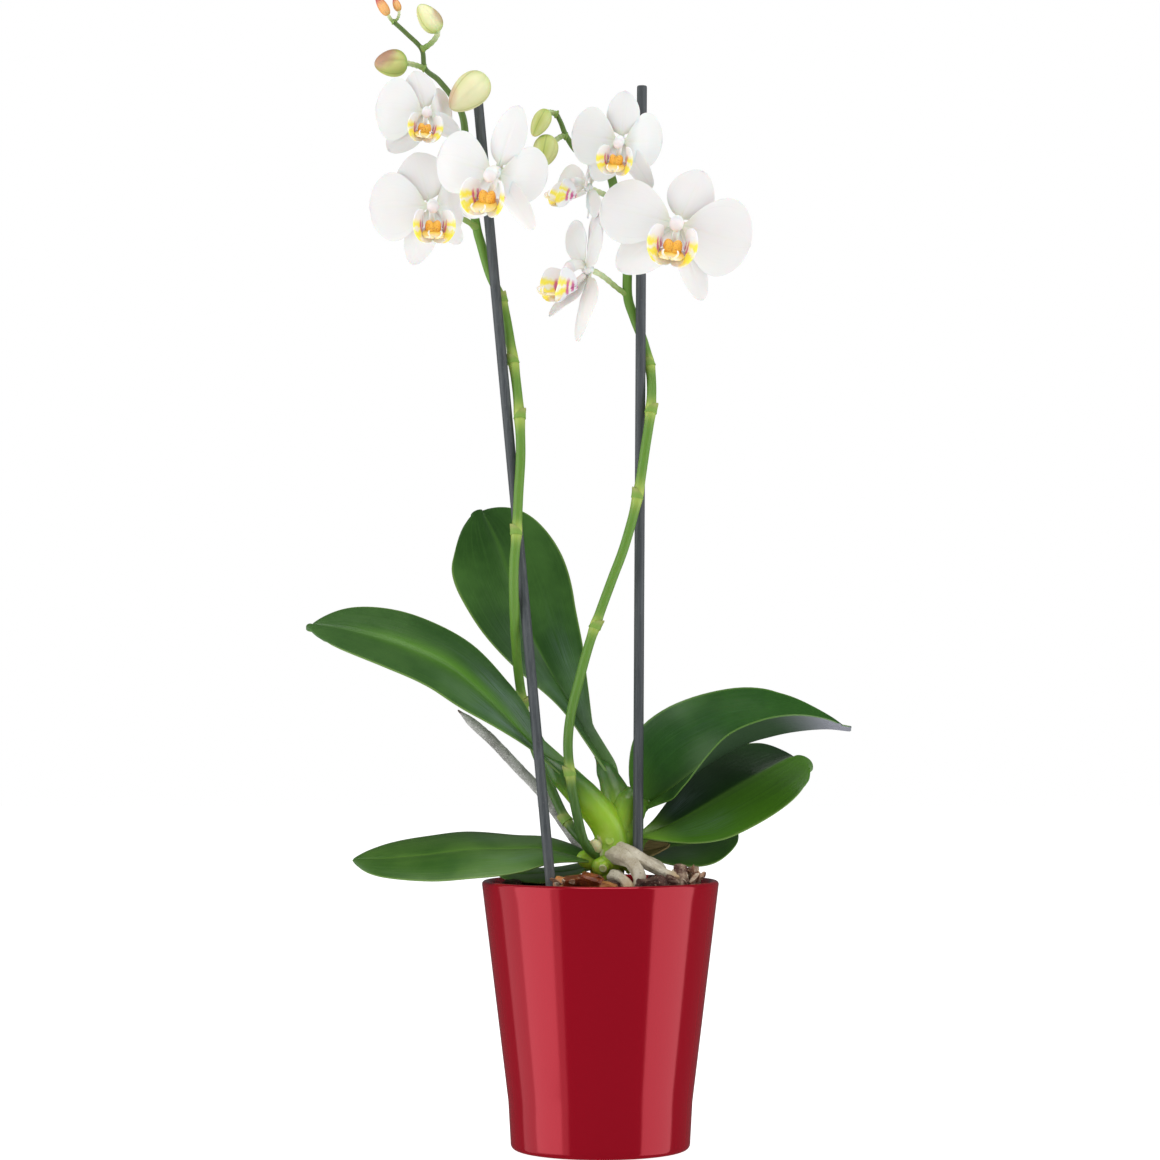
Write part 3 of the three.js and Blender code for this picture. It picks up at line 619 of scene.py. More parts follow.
@dataclass(frozen=True)
class GlazeFinish:
    """Deep red glaze over clay, smooth and wet-looking."""

    body: Colour = srgb(140, 6, 26)
    thick: Colour = srgb(130, 4, 21)

    def build(self) -> Material:
        """Makes the material."""
        paint = Paint("red_glaze")
        place = paint.place()
        _, _, height = paint.axes()
        cloud = paint.noise(place, 6.0, 2.0)
        orange_peel = paint.noise(place, 260.0, 1.0)
        shade = height.step(6.0, 0.0) * 0.6 + cloud * 0.4
        paint.set(Base_Color=paint.mix(shade, self.body, self.thick), Roughness=cloud * 0.03 + 0.1)
        paint.set(IOR=1.8, Specular_IOR_Level=1.0, Specular_Tint=(1.0, 0.17, 0.21, 1.0))
        paint.bump(orange_peel, 0.004)
        return paint.material


@dataclass(frozen=True)
class ClearPlasticFinish:
    """Thin clear plastic, a little clouded."""

    tint: Colour = srgb(214, 220, 216)

    def build(self) -> Material:
        """Makes the material."""
        paint = Paint("clear_plastic")
        haze_and_sheen = paint.noise(paint.place(), 60.0, 4.0)
        paint.set(Base_Color=paint.mix(haze_and_sheen, self.tint, srgb(188, 194, 188)), Roughness=haze_and_sheen * 0.2 + 0.12)
        paint.set(Alpha=haze_and_sheen * 0.2 + 0.32, IOR=1.49)
        return paint.material


@dataclass(frozen=True)
class BarkFinish:
    """Pine bark, from a glossy red brown to dark purple brown, in thin layers."""

    name: str
    dark: Colour
    middle: Colour
    pale: Colour
    gloss: float = 0.0

    def build(self) -> Material:
        """Makes the material."""
        paint = Paint(self.name)
        place = paint.place()
        mottle = paint.noise(place, 140.0, 5.0, 0.65)
        layers = paint.noise(paint.scaled((130, 130, 620)), 1.0, 4.0, 0.6)
        flecks = paint.noise(place, 900.0, 2.0)
        value = (mottle * 0.55 + layers * 0.45 + (paint.tone() - 0.5) * 0.5)
        colour = paint.ramp(value, [(0.22, self.dark), (0.5, self.middle), (0.78, self.pale)])
        fleck_colour = paint.mix(flecks.step(0.62, 0.7) * 0.6, colour, self.pale)
        paint.set(Base_Color=fleck_colour, Roughness=0.85 - self.gloss + layers * 0.1)
        paint.bump(layers * 0.7 + mottle * 0.3, 0.9)
        return paint.material


@dataclass(frozen=True)
class StickFinish:
    """Dark grey plastic over the support stick, with dust and fine scratches."""

    body: Colour = srgb(62, 66, 69)
    dust: Colour = srgb(128, 128, 128)

    def build(self) -> Material:
        """Makes the material."""
        paint = Paint("stick_plastic")
        _, _, height = paint.axes()
        place = paint.place()
        specks_and_glints = paint.noise(place, 1100.0, 2.0).step(0.66, 0.74)
        streaks = paint.noise(paint.scaled((900, 900, 16)), 1.0, 3.0)
        low = height.step(176.0, 148.0)
        cloud = paint.noise(place, 45.0, 4.0)
        share = specks_and_glints * 0.35 + low * 0.45 * cloud + (cloud - 0.5) * 0.14
        body = paint.mix(streaks.step(0.35, 0.7), self.body, srgb(76, 81, 84))
        paint.set(Base_Color=paint.mix(share, body, self.dust), Roughness=streaks * 0.22 + 0.36)
        paint.bump(streaks, 0.12)
        return paint.material


@dataclass(frozen=True)
class LeafFinish:
    """A thick waxy leaf: dark green with a lighter rib, fine lengthwise veins, a paler underside, painted
    grey-blue sheen and, where given, a half colour of painted light and shade.
    """

    name: str
    deep: Colour
    fresh: Colour
    rib: Colour = srgb(104, 142, 62)
    foot: Colour = srgb(122, 168, 48)
    under: Colour = srgb(92, 122, 74)
    # Where given, a grey-blue painted sheen over the underside towards the tip.
    under_tip: Colour | None = None
    margin: Colour = srgb(116, 148, 72)
    band: Colour | None = None
    # Share and place along of the painted sheen: grey-blue streaks of reflected light, painted near the foot.
    painted_sheen: float = 0.3
    painted_sheen_at: float = 0.3
    # The half colour paints light and shade: it covers the half with across below zero, for how the fold
    # lights that half.
    half: Colour | None = None
    foot_end: float = 0.26
    gloss: float = 0.3

    def build(self) -> Material:
        """Makes the material."""
        paint = Paint(self.name)
        across, along = paint.span()
        place = paint.place()
        cloud = paint.noise(place, 26.0, 4.0)
        veins = paint.noise(paint.stretched_span(46, 2.2), 1.0, 2.0, 0.5)
        fine = paint.noise(paint.stretched_span(120, 9), 1.0, 2.0, 0.5)
        pores = paint.noise(place, 900.0, 2.0)
        body = paint.mix(cloud.step(0.3, 0.72), self.deep, self.fresh)
        if self.half:
            # Painted light and shade: one half of the blade in its own colour.
            body = paint.mix((across + (cloud - 0.5) * 0.1).step(-0.03, 0.05), self.half, body)
        veined = paint.mix(veins.step(0.45, 0.75) * 0.3, body, self.fresh)
        if self.band:
            wide = across.bump_at(-0.06, 0.2) * along.step(0.12, 0.3) * along.step(0.85, 0.55)
            veined = paint.mix(wide * 0.8, veined, self.band)
        # Painted sheen: grey-blue reflection streaks part way along, out towards both margins.
        haze_and_sheen = along.bump_at(self.painted_sheen_at, 0.13) * abs(across).bump_at(0.5, 0.28) * fine.step(0.3, 0.8)
        veined = paint.mix(haze_and_sheen * self.painted_sheen, veined, srgb(132, 150, 156))
        rib = across.bump_at(0.0, 0.045) * (1.0 - along * 0.55) * 0.8
        ribbed = paint.mix(rib, veined, self.rib)
        grown = paint.mix((along + (cloud - 0.5) * 0.06).step(self.foot_end, 0.02), ribbed, self.foot)
        # The underside turns to the painted sheen colour towards the tip, where one is given.
        under = paint.mix(along.step(0.5, 0.85), self.under, self.under_tip or self.under)
        below = paint.mix(paint.tone(), grown, under)
        margin = abs(across).step(0.955, 0.99) * 0.6
        edged = paint.mix(margin, below, self.margin)
        paint.set(Base_Color=edged, Roughness=cloud * 0.12 + self.gloss - 0.06 + paint.tone() * 0.12)
        paint.set(Coat_Weight=0.06, Coat_Roughness=0.2, Specular_IOR_Level=0.4)
        paint.bump(veins * 0.55 + fine * 0.25 + pores * 0.12, 0.22)
        return paint.material


@dataclass(frozen=True)
class StemFinish:
    """A flower spike: dark green low down, fresh green higher, yellow at its joints, with lighter lengthwise
    lines, partly its own streaks and partly painted highlight.
    """

    low: Colour = srgb(58, 96, 32)
    high: Colour = srgb(94, 136, 44)
    joint: Colour = srgb(172, 190, 88)
    top: Colour = srgb(86, 108, 54)

    def build(self) -> Material:
        """Makes the material."""
        paint = Paint("spike_skin")
        _, _, height = paint.axes()
        place = paint.place()
        lines = paint.noise(paint.scaled((1000, 1000, 30)), 1.0, 3.0)
        cloud = paint.noise(place, 40.0, 3.0)
        body = paint.mix(height.step(180.0, 300.0), self.low, self.high)
        body = paint.mix(height.step(520.0, 620.0), body, self.top)
        # Lighter lengthwise lines and cloud: partly the stem's own streaks, partly a painted highlight.
        lined = paint.mix(lines.step(0.4, 0.75) * 0.3 + cloud * 0.12, body, srgb(104, 140, 62))
        paint.set(Base_Color=paint.mix(paint.tone(), lined, self.joint), Roughness=cloud * 0.1 + 0.38)
        paint.set(Subsurface_Weight=0.12, Subsurface_Scale=0.002)
        paint.bump(lines, 0.12)
        return paint.material


@dataclass(frozen=True)
class StalkFinish:
    """A bloom's or bud's own stalk, from spike green to nearly white below the bloom."""

    name: str
    root: Colour
    end: Colour

    def build(self) -> Material:
        """Makes the material."""
        paint = Paint(self.name)
        cloud = paint.noise(paint.place(), 260.0, 3.0)
        shade = paint.mix((paint.tone() + (cloud - 0.5) * 0.2).step(0.05, 0.95), self.root, self.end)
        paint.set(Base_Color=shade, Roughness=cloud * 0.1 + 0.4)
        paint.set(Subsurface_Weight=0.2, Subsurface_Scale=0.002)
        paint.bump(cloud, 0.1)
        return paint.material


@dataclass(frozen=True)
class BractFinish:
    """A dry scale at a joint, green at its foot and papery at its tip."""

    green: Colour = srgb(118, 154, 58)
    dry: Colour = srgb(150, 158, 86)

    def build(self) -> Material:
        """Makes the material."""
        paint = Paint("bract_skin")
        _, along = paint.span()
        fibres = paint.noise(paint.stretched_span(24, 2), 1.0, 3.0)
        shade = paint.mix((along + fibres * 0.3).step(0.35, 1.1), self.green, self.dry)
        paint.set(Base_Color=shade, Roughness=fibres * 0.2 + 0.5)
        paint.bump(fibres, 0.15)
        return paint.material


@dataclass(frozen=True)
class BudFinish:
    """A closed bud: three sepals that meet in seams, with a blush at the tip."""

    name: str
    body: Colour
    pale: Colour
    seam: Colour
    blush: Colour
    blush_from: float = 0.8
    blush_share: float = 0.6
    spot: Point | None = None
    reach: float = 8.0
    green: Colour = srgb(150, 176, 84)

    def build(self) -> Material:
        """Makes the material."""
        paint = Paint(self.name)
        turn, along = paint.span()
        cloud = paint.noise(paint.place(), 170.0, 4.0)
        veins = paint.noise(paint.stretched_span(40, 2), 1.0, 2.0)
        wave = (turn * (math.pi * 1.5)).sine()
        seam = abs(wave).step(0.16, 0.0)
        body = paint.mix(abs(wave).step(0.2, 0.95) * (cloud * 0.6 + 0.5), self.body, self.pale)
        seamed = paint.mix(seam * 0.75, body, self.seam)
        tip = (along + (cloud - 0.5) * 0.25).step(self.blush_from, self.blush_from + 0.25) * self.blush_share
        if self.spot:
            x, y, z = (axis - middle for axis, middle in zip(paint.axes(), self.spot))
            far = (x * x + y * y + z * z) * (1 / self.reach**2)
            tip = (far + (cloud - 0.5) * 0.5).step(1.3, 0.3) * self.blush_share
        lower = along.step(0.45, 0.05) * 0.75
        based = paint.mix(tip, paint.mix(lower, seamed, self.green), self.blush)
        paint.set(Base_Color=based, Roughness=cloud * 0.12 + 0.4)
        paint.set(Subsurface_Weight=0.2, Subsurface_Scale=0.003)
        paint.bump(veins * 0.6 + cloud * 0.4, 0.18)
        return paint.material


@dataclass(frozen=True)
class PetalFinish:
    """White petal skin: velvety, faintly veined, a little green at its foot."""

    white: Colour = srgb(226, 226, 225)
    shade: Colour = srgb(213, 214, 213)
    foot: Colour = srgb(212, 218, 186)

    def build(self) -> Material:
        """Makes the material."""
        paint = Paint("white_petal")
        across, along = paint.span()
        veins = paint.noise(paint.stretched_span(30, 1.6), 1.0, 2.0, 0.5)
        cells = paint.noise(paint.place(), 1500.0, 2.0)
        soft = paint.noise(paint.place(), 60.0, 3.0)
        body = paint.mix(veins.step(0.5, 0.8) * 0.25 + soft * 0.25, self.white, self.shade)
        ribbed = paint.mix(across.bump_at(0.0, 0.05) * (1.0 - along) * 0.15, body, self.foot)
        footed = paint.mix(along.step(0.2, 0.0) * 0.6, ribbed, self.foot)
        paint.set(Base_Color=footed, Roughness=cells * 0.15 + 0.5)
        paint.set(Subsurface_Weight=0.25, Subsurface_Scale=0.003, Sheen_Weight=0.08, Sheen_Roughness=0.5)
        paint.bump(veins * 0.7 + cells * 0.2, 0.08)
        return paint.material


@dataclass(frozen=True)
class WingFinish:
    """The lip's side lobes: white, with yellow patches and magenta strokes towards the callus."""

    white: Colour = srgb(230, 232, 235)
    yellow: Colour = srgb(240, 228, 74)
    amber: Colour = srgb(238, 206, 70)
    magenta: Colour = srgb(200, 46, 138)

    def build(self) -> Material:
        """Makes the material. The tone runs from the front edge, 0, to the back edge, 1."""
        paint = Paint("lip_wings")
        _, along = paint.span()
        edge = paint.tone()
        place = paint.place()
        wobble = paint.noise(place, 330.0, 3.0)
        blotch = paint.noise(place, 210.0, 2.0)
        way = along + (wobble - 0.5) * 0.12
        front = (edge + (blotch - 0.5) * 0.6).step(0.85, 0.45)
        yellow = (way + (blotch - 0.5) * 0.3).step(0.26, 0.38) * way.step(0.62, 0.5) * front
        split = 1.0 - (way + (blotch - 0.5) * 0.12).bump_at(0.45, 0.028) * 0.85
        base = paint.mix(yellow * split, self.white, paint.mix(way.step(0.4, 0.26), self.yellow, self.amber))
        comb = ((edge * 26.0) + (wobble - 0.5) * 5.0).sine().step(-0.6, 0.3)
        stroke = way.step(0.2, 0.3) * way.step(0.66, 0.5) * (edge + (blotch - 0.5) * 0.2).step(0.4, 0.54)
        stroked = paint.mix(comb * stroke * 0.85, base, self.magenta)
        paint.set(Base_Color=stroked, Roughness=wobble * 0.1 + 0.42)
        paint.set(Subsurface_Weight=0.2, Subsurface_Scale=0.002)
        paint.bump(wobble, 0.15)
        return paint.material


@dataclass(frozen=True)
class HeartFinish:
    """The lip's callus and middle lobe: orange at the heart, freckled, and white to the tendrils."""

    white: Colour = srgb(234, 232, 226)
    orange: Colour = srgb(248, 186, 72)
    yellow: Colour = srgb(248, 214, 96)
    red: Colour = srgb(192, 92, 44)

    def build(self) -> Material:
        """Makes the material. The tone runs from the callus, 0, to the tendrils' ends, 1."""
        paint = Paint("lip_heart")
        along = paint.tone()
        place = paint.place()
        wobble = paint.noise(place, 380.0, 3.0)
        freckles = paint.noise(place, 1300.0, 2.0)
        way = along + (wobble - 0.5) * 0.2
        body = paint.ramp(way, [(0.2, self.orange), (0.5, self.yellow), (0.85, self.white)])
        spots = freckles.step(0.55, 0.63) * way.step(0.5, 0.3) * 0.6
        paint.set(Base_Color=paint.mix(spots, body, self.red), Roughness=wobble * 0.12 + 0.38)
        paint.set(Subsurface_Weight=0.2, Subsurface_Scale=0.002)
        paint.bump(wobble * 0.5 + freckles * 0.5, 0.2)
        return paint.material


@dataclass(frozen=True)
class ColumnFinish:
    """The column: white, blushed pink at its cap, with painted green-grey shade towards its foot."""

    white: Colour = srgb(234, 232, 228)
    blush: Colour = srgb(232, 220, 222)
    # The painted shade's colour.
    green: Colour = srgb(190, 196, 152)

    def build(self) -> Material:
        """Makes the material. The tone is 1 on the cap."""
        paint = Paint("column_skin")
        cloud = paint.noise(paint.place(), 420.0, 3.0)
        _, along = paint.span()
        # Painted shade: green-grey towards the column's foot, mottled by noise.
        body = paint.mix(along.step(0.55, 0.05) * 0.7 * cloud, self.white, self.green)
        paint.set(Base_Color=paint.mix(paint.tone() * (cloud * 0.5 + 0.4), body, self.blush))
        paint.set(Roughness=cloud * 0.1 + 0.4, Subsurface_Weight=0.2, Subsurface_Scale=0.002)
        paint.bump(cloud, 0.12)
        return paint.material


@dataclass(frozen=True)
class RootFinish:
    """Dry velamen: silver skin over green, pitted and cracked, with painted white glints and a fresh tip."""

    name: str
    silver: Colour
    grey: Colour
    brown: Colour
    tip: Colour
    # How strongly the painted white glints show.
    specks_and_glints: float = 0.2

    def build(self) -> Material:
        """Makes the material. The tone is 1 at a root's growing tip."""
        paint = Paint(self.name)
        place = paint.place()
        cloud = paint.noise(place, 120.0, 4.0, 0.6)
        pits = paint.noise(place, 750.0, 3.0, 0.6)
        glints = paint.noise(place, 1700.0, 2.0)
        rings = paint.noise(paint.stretched_span(3, 34), 1.0, 3.0)
        body = paint.mix(cloud.step(0.32, 0.68), self.silver, self.grey)
        worn = paint.mix(pits.step(0.58, 0.72) * 0.6, body, self.brown)
        # Painted glints: white specks of highlight, as strong as the glint share.
        glinting = paint.mix(glints.step(0.56, 0.64) * self.specks_and_glints, worn, srgb(232, 232, 230))
        paint.set(Base_Color=paint.mix(paint.tone(), glinting, self.tip), Roughness=pits * 0.2 + 0.62)
        paint.bump(pits * 0.5 + rings * 0.35 + cloud * 0.4, 0.5)
        return paint.material


@dataclass(frozen=True)
class CrownFinish:
    """The crown's fleshy stem and sheaths: lime, greener where the leaf stalks leave it, with painted pale
    highlights low down.
    """

    lime: Colour = srgb(148, 190, 42)
    # The colour of the painted highlights.
    pale: Colour = srgb(190, 214, 92)
    green: Colour = srgb(60, 102, 32)
    scar: Colour = srgb(212, 206, 160)

    def build(self) -> Material:
        """Makes the material. The tone is 1 on scars and cut ends."""
        paint = Paint("crown_skin")
        across, _, height = paint.axes()
        place = paint.place()
        cloud = paint.noise(place, 70.0, 4.0)
        lines = paint.noise(paint.scaled((420, 420, 40)), 1.0, 3.0)
        wet = paint.noise(place, 260.0, 2.0)
        rise = height + (cloud - 0.5) * 10.0
        body = paint.mix(rise.step(186.0, 212.0), self.lime, self.green)
        low = paint.mix(rise.step(170.0, 152.0) * 0.85, body, srgb(172, 198, 62))
        # Painted highlights: pale patches and lines over the lower crown.
        light = (cloud.step(0.45, 0.75) * 0.55 + lines.step(0.6, 0.8) * 0.2) * rise.step(206.0, 184.0)
        lit = paint.mix(light, low, self.pale)
        side = paint.mix(across.step(6.0, 24.0) * 0.8, lit, self.green)
        paint.set(Base_Color=paint.mix(paint.tone(), side, self.scar), Roughness=wet * 0.2 + 0.24)
        paint.set(Subsurface_Weight=0.25, Subsurface_Scale=0.004, Coat_Weight=0.15, Coat_Roughness=0.15)
        paint.bump(lines * 0.5 + wet * 0.5, 0.3)
        return paint.material


@dataclass(frozen=True)
class PaperFinish:
    """Old leaf sheath dried to brown paper."""

    brown: Colour = srgb(116, 98, 56)
    straw: Colour = srgb(188, 168, 112)

    def build(self) -> Material:
        """Makes the material."""
        paint = Paint("dry_paper")
        fibres = paint.noise(paint.stretched_span(34, 3), 1.0, 4.0)
        cloud = paint.noise(paint.place(), 160.0, 3.0)
        shade = paint.mix(fibres.step(0.35, 0.7) * 0.7 + cloud * 0.3, self.brown, self.straw)
        paint.set(Base_Color=shade, Roughness=fibres * 0.2 + 0.6)
        paint.bump(fibres, 0.4)
        return paint.material


@dataclass(frozen=True)
class FloorFinish:
    """The studio's pale floor."""

    pale: Colour = (0.5, 0.5, 0.5, 1.0)
    glow: Colour = (1.0, 1.0, 1.0, 1.0)

    def build(self) -> Material:
        """Makes the material."""
        paint = Paint("pale_floor")
        paint.set(Base_Color=self.pale, Roughness=0.9, Emission_Color=self.glow, Emission_Strength=1.0)
        return paint.material


# Blades, shared by leaves and tepals


@dataclass
class BladeForm:
    """A leaf or tepal: a keel with an outline, a fold and an arch across it, in millimetres.

    The faces are the ways that its upper side looks at its foot and its tip. The outline goes from the
    root's half width to the tip's, with a swelling of that width from the start on, shaped by skew and blunt,
    on its left side by other_skew and past its middle by tip_blunt. The folds are in degrees. A lobe widens
    the tip and reaches past it, and a tuck narrows a side near the foot, both negative on the left.
    """

    keel: Sequence[Point]
    faces: Sequence[Point]
    width: float
    root: float = 4.0
    tip: float = 1.0
    start: float = 0.0
    skew: float = 1.0
    other_skew: float | None = None
    blunt: float = 0.7
    tip_blunt: float | None = None
    root_fold: float = 0.0
    fold: float = 0.0
    fold_end: float = 0.4
    arch: float = 0.0
    wave: float = 0.0
    waves: float = 2.0
    neck: float = 1.0
    lobe: float = 0.0
    reach: float = 0.0
    tuck: float = 0.0
    tuck_end: float = 0.42

    def __post_init__(self) -> None:
        """Makes the keel a line."""
        self.line = Line(self.keel)
        self.looks = [Vector(face) for face in self.faces]

    def half_width(self, t: float, u: float = 1.0) -> float:
        """Half of the blade's width, rounded off at its very end.

        Args:
            t: how far along, 0 to 1.
            u: how far across, of which only the side counts here.

        Returns:
            The half width.
        """
        skew = self.other_skew if self.other_skew and u < 0 else self.skew
        s = max(0.0, (t - self.start) / (1 - self.start)) ** skew
        blunt = self.tip_blunt if self.tip_blunt and s > 0.5 else self.blunt
        lobe = max(0.0, math.sin(math.pi * s)) ** blunt
        neck = lerp(self.neck, 1.0, smoothstep(t, 0.0, 0.13))
        return (lerp(self.root, self.tip, t) * round_end(t, 0.93) + self.width * lobe) * neck + 0.02

    def point(self, t: float, u: float) -> Vector:
        """A point of the blade's middle surface.

        Args:
            t: how far along, 0 to 1.
            u: how far across, -1 to 1.

        Returns:
            The point.
        """
        along = self.line.along(t)
        face = self.looks[0].lerp(self.looks[1], smoothstep(t, 0, 1))
        across = face.cross(along).normalized()
        up = along.cross(across)
        half, beyond = self.half_width(t, u), 0.0
        if self.tuck * u > 0:
            half *= lerp(1 - abs(self.tuck), 1.0, smoothstep(t, 0.12, self.tuck_end))
        if self.lobe * u > 0:
            half = lerp(half, max(half, abs(self.lobe)), smoothstep(t, 0.7, 0.9))
            beyond = self.reach * max(0.0, 1 - (2 * abs(u) - 1) ** 2) ** 0.5 * smoothstep(t, 0.6, 1.0)
        fold = math.radians(lerp(self.root_fold, self.fold, smoothstep(t, 0, self.fold_end)))
        ripple = self.wave * math.sin(math.pi * (self.waves * t + (0.35 if u > 0 else 0))) * u * u * t
        rise = half * abs(u) * math.sin(fold) - self.arch * half * u * u + ripple
        return self.line.at(t) + along * beyond + across * (half * u * math.cos(fold)) + up * rise


def tip_rows(share: float) -> float:
    """Rows that draw closer together towards a blade's tip."""
    return 1 - (1 - share) ** 1.5


# Pots


@dataclass
class CoverPot:
    """The round glazed pot: a turned cup with a straight taper and a soft lip."""

    height: float = 152.0
    rim_radius: float = 67.5
    foot_radius: float = 51.0
    knee_radius: float = 52.4
    knee_height: float = 27.0
    foot_round: float = 3.0
    wall: float = 4.0
    floor: float = 6.0
    turns: int = 160
    finish: GlazeFinish = GlazeFinish()

    def profile(self) -> list[tuple[float, float]]:
        """The wall's section.

        Returns:
            Pairs of radius and height, from the middle of the underside round to that of the floor.
        """
        lip, bend = self.wall / 2, self.foot_round
        rise = self.height - lip
        section = [(0.0, 0.0), (self.foot_radius - 5.0, 0.0), (self.foot_radius - bend, 0.0)]
        for step in range(1, 7):
            angle = math.radians(90 * step / 6)
            section.append((self.foot_radius - bend + bend * math.sin(angle), bend - bend * math.cos(angle)))
        section += even_steps((self.foot_radius, bend), (self.knee_radius, self.knee_height), 4)
        section += even_steps((self.knee_radius, self.knee_height), (self.rim_radius, rise), 16)
        for step in range(1, 12):
            angle = math.radians(180 * step / 12)
            section.append((self.rim_radius - lip + lip * math.cos(angle), rise + lip * math.sin(angle)))
        inner = [(self.rim_radius - self.wall, rise), (self.knee_radius - self.wall, self.knee_height)]
        foot = self.foot_radius - self.wall
        return section + inner + [(foot - 0.5, self.floor + 2), (foot - 3, self.floor), (0.0, self.floor)]

    def build(self) -> None:
        """Turns the section and glazes it."""
        bm = new_mesh()
        turn_profile(bm, self.profile(), self.turns)
        finish_piece(bm, "red_pot", self.finish.build(), ["cover_pot"], "glaze", 50)


def even_steps(first: Point, last: Point, count: int) -> list[tuple[float, float]]:
    """Flat points at even steps from the first, which is left out, to the last."""
    shares = [k / count for k in range(1, count + 1)]
    return [(lerp(first[0], last[0], share), lerp(first[1], last[1], share)) for share in shares]


def turn_profile(bm: Form, profile: Sequence[Point], turns: int) -> None:
    """Spins a section round the upright axis into a closed form.

    Args:
        bm: the mesh to add to.
        profile: the section's pairs of radius and height.
        turns: the steps of the spin.
    """
    verts = [bm.verts.new((radius, 0, height)) for radius, height in profile]
    edges = [bm.edges.new(pair) for pair in zip(verts, verts[1:])]
    way = {"cent": (0, 0, 0), "axis": (0, 0, 1), "angle": 2 * math.pi, "use_merge": True}
    bmesh.ops.spin(bm, geom=verts + edges, steps=turns, **way)
    bmesh.ops.remove_doubles(bm, verts=bm.verts[:], dist=WELD)
    bmesh.ops.recalc_face_normals(bm, faces=bm.faces[:])


@dataclass
class GrowPot:
    """The thin clear cup inside the cover pot, with its turned-out rim."""

    floor: float = 6.34
    foot_radius: float = 41.1
    top_radius: float = 59.9
    rim: float = 1.6
    rim_height: float = 2.0
    top: float = 143.0
    wall: float = 1.0
    turns: int = 96
    finish: ClearPlasticFinish = ClearPlasticFinish()

    def build(self) -> None:
        """Turns the cup."""
        bm = new_mesh()
        edge = self.top_radius + self.rim
        section = [
            (0.0, self.floor),
            (self.foot_radius, self.floor),
            (self.top_radius, self.top - self.rim_height),
            (edge - 0.4, self.top - self.rim_height),
            (edge, self.top - 1.6),
            (edge, self.top - 0.3),
            (edge - 0.3, self.top),
            (self.top_radius - self.wall, self.top),
            (self.foot_radius - self.wall, self.floor + self.wall),
            (0.0, self.floor + self.wall),
        ]
        turn_profile(bm, section, self.turns)
        finish_piece(bm, "clear_cup", self.finish.build(), ["grow_pot"], "clear_plastic", 40)


# Bark


@dataclass(frozen=True)
class Chip:
    """One chip of bark: its middle, its three sizes, its turn about each axis and its tone."""

    spot: Point
    size: Point
    turn: Point
    tone: float

    def add(self, bm: Form, seed: float, cuts: int) -> None:
        """Adds the chip, with its corners knocked off and its faces broken up by noise.

        Args:
            bm: the mesh to add to.
            seed: where in the noise it lies.
            cuts: how many times each edge of its block is cut.
        """
        part = new_mesh()
        level = part.verts.layers.float[TONE]
        bmesh.ops.create_cube(part, size=1.0)
        bmesh.ops.subdivide_edges(part, edges=part.edges[:], cuts=cuts, use_grid_fill=True)
        spin = Quaternion((0, 0, 1), self.turn[2])
        spin = spin @ Quaternion((1, 0, 0), self.turn[0]) @ Quaternion((0, 1, 0), self.turn[1])
        for vert in part.verts:
            raw = vert.co.copy()
            corner = raw.length / 0.866
            raw *= 1 - 0.16 * corner**4
            raw = Vector((raw.x * self.size[0], raw.y * self.size[1], raw.z * self.size[2]))
            flat = grain(raw, 2.2, seed + 17) * 0.6
            rough = Vector((grain(raw, 3.2, seed), grain(raw, 3.2, seed + 9), flat))
            big = grain(raw, 7.0, seed + 31)
            raw += rough * 0.9 + Vector((big, -big, 0.5 * big)) * 0.9
            vert.co = Vector(self.spot) + spin @ raw
            vert[level] = self.tone
        absorb(bm, part)


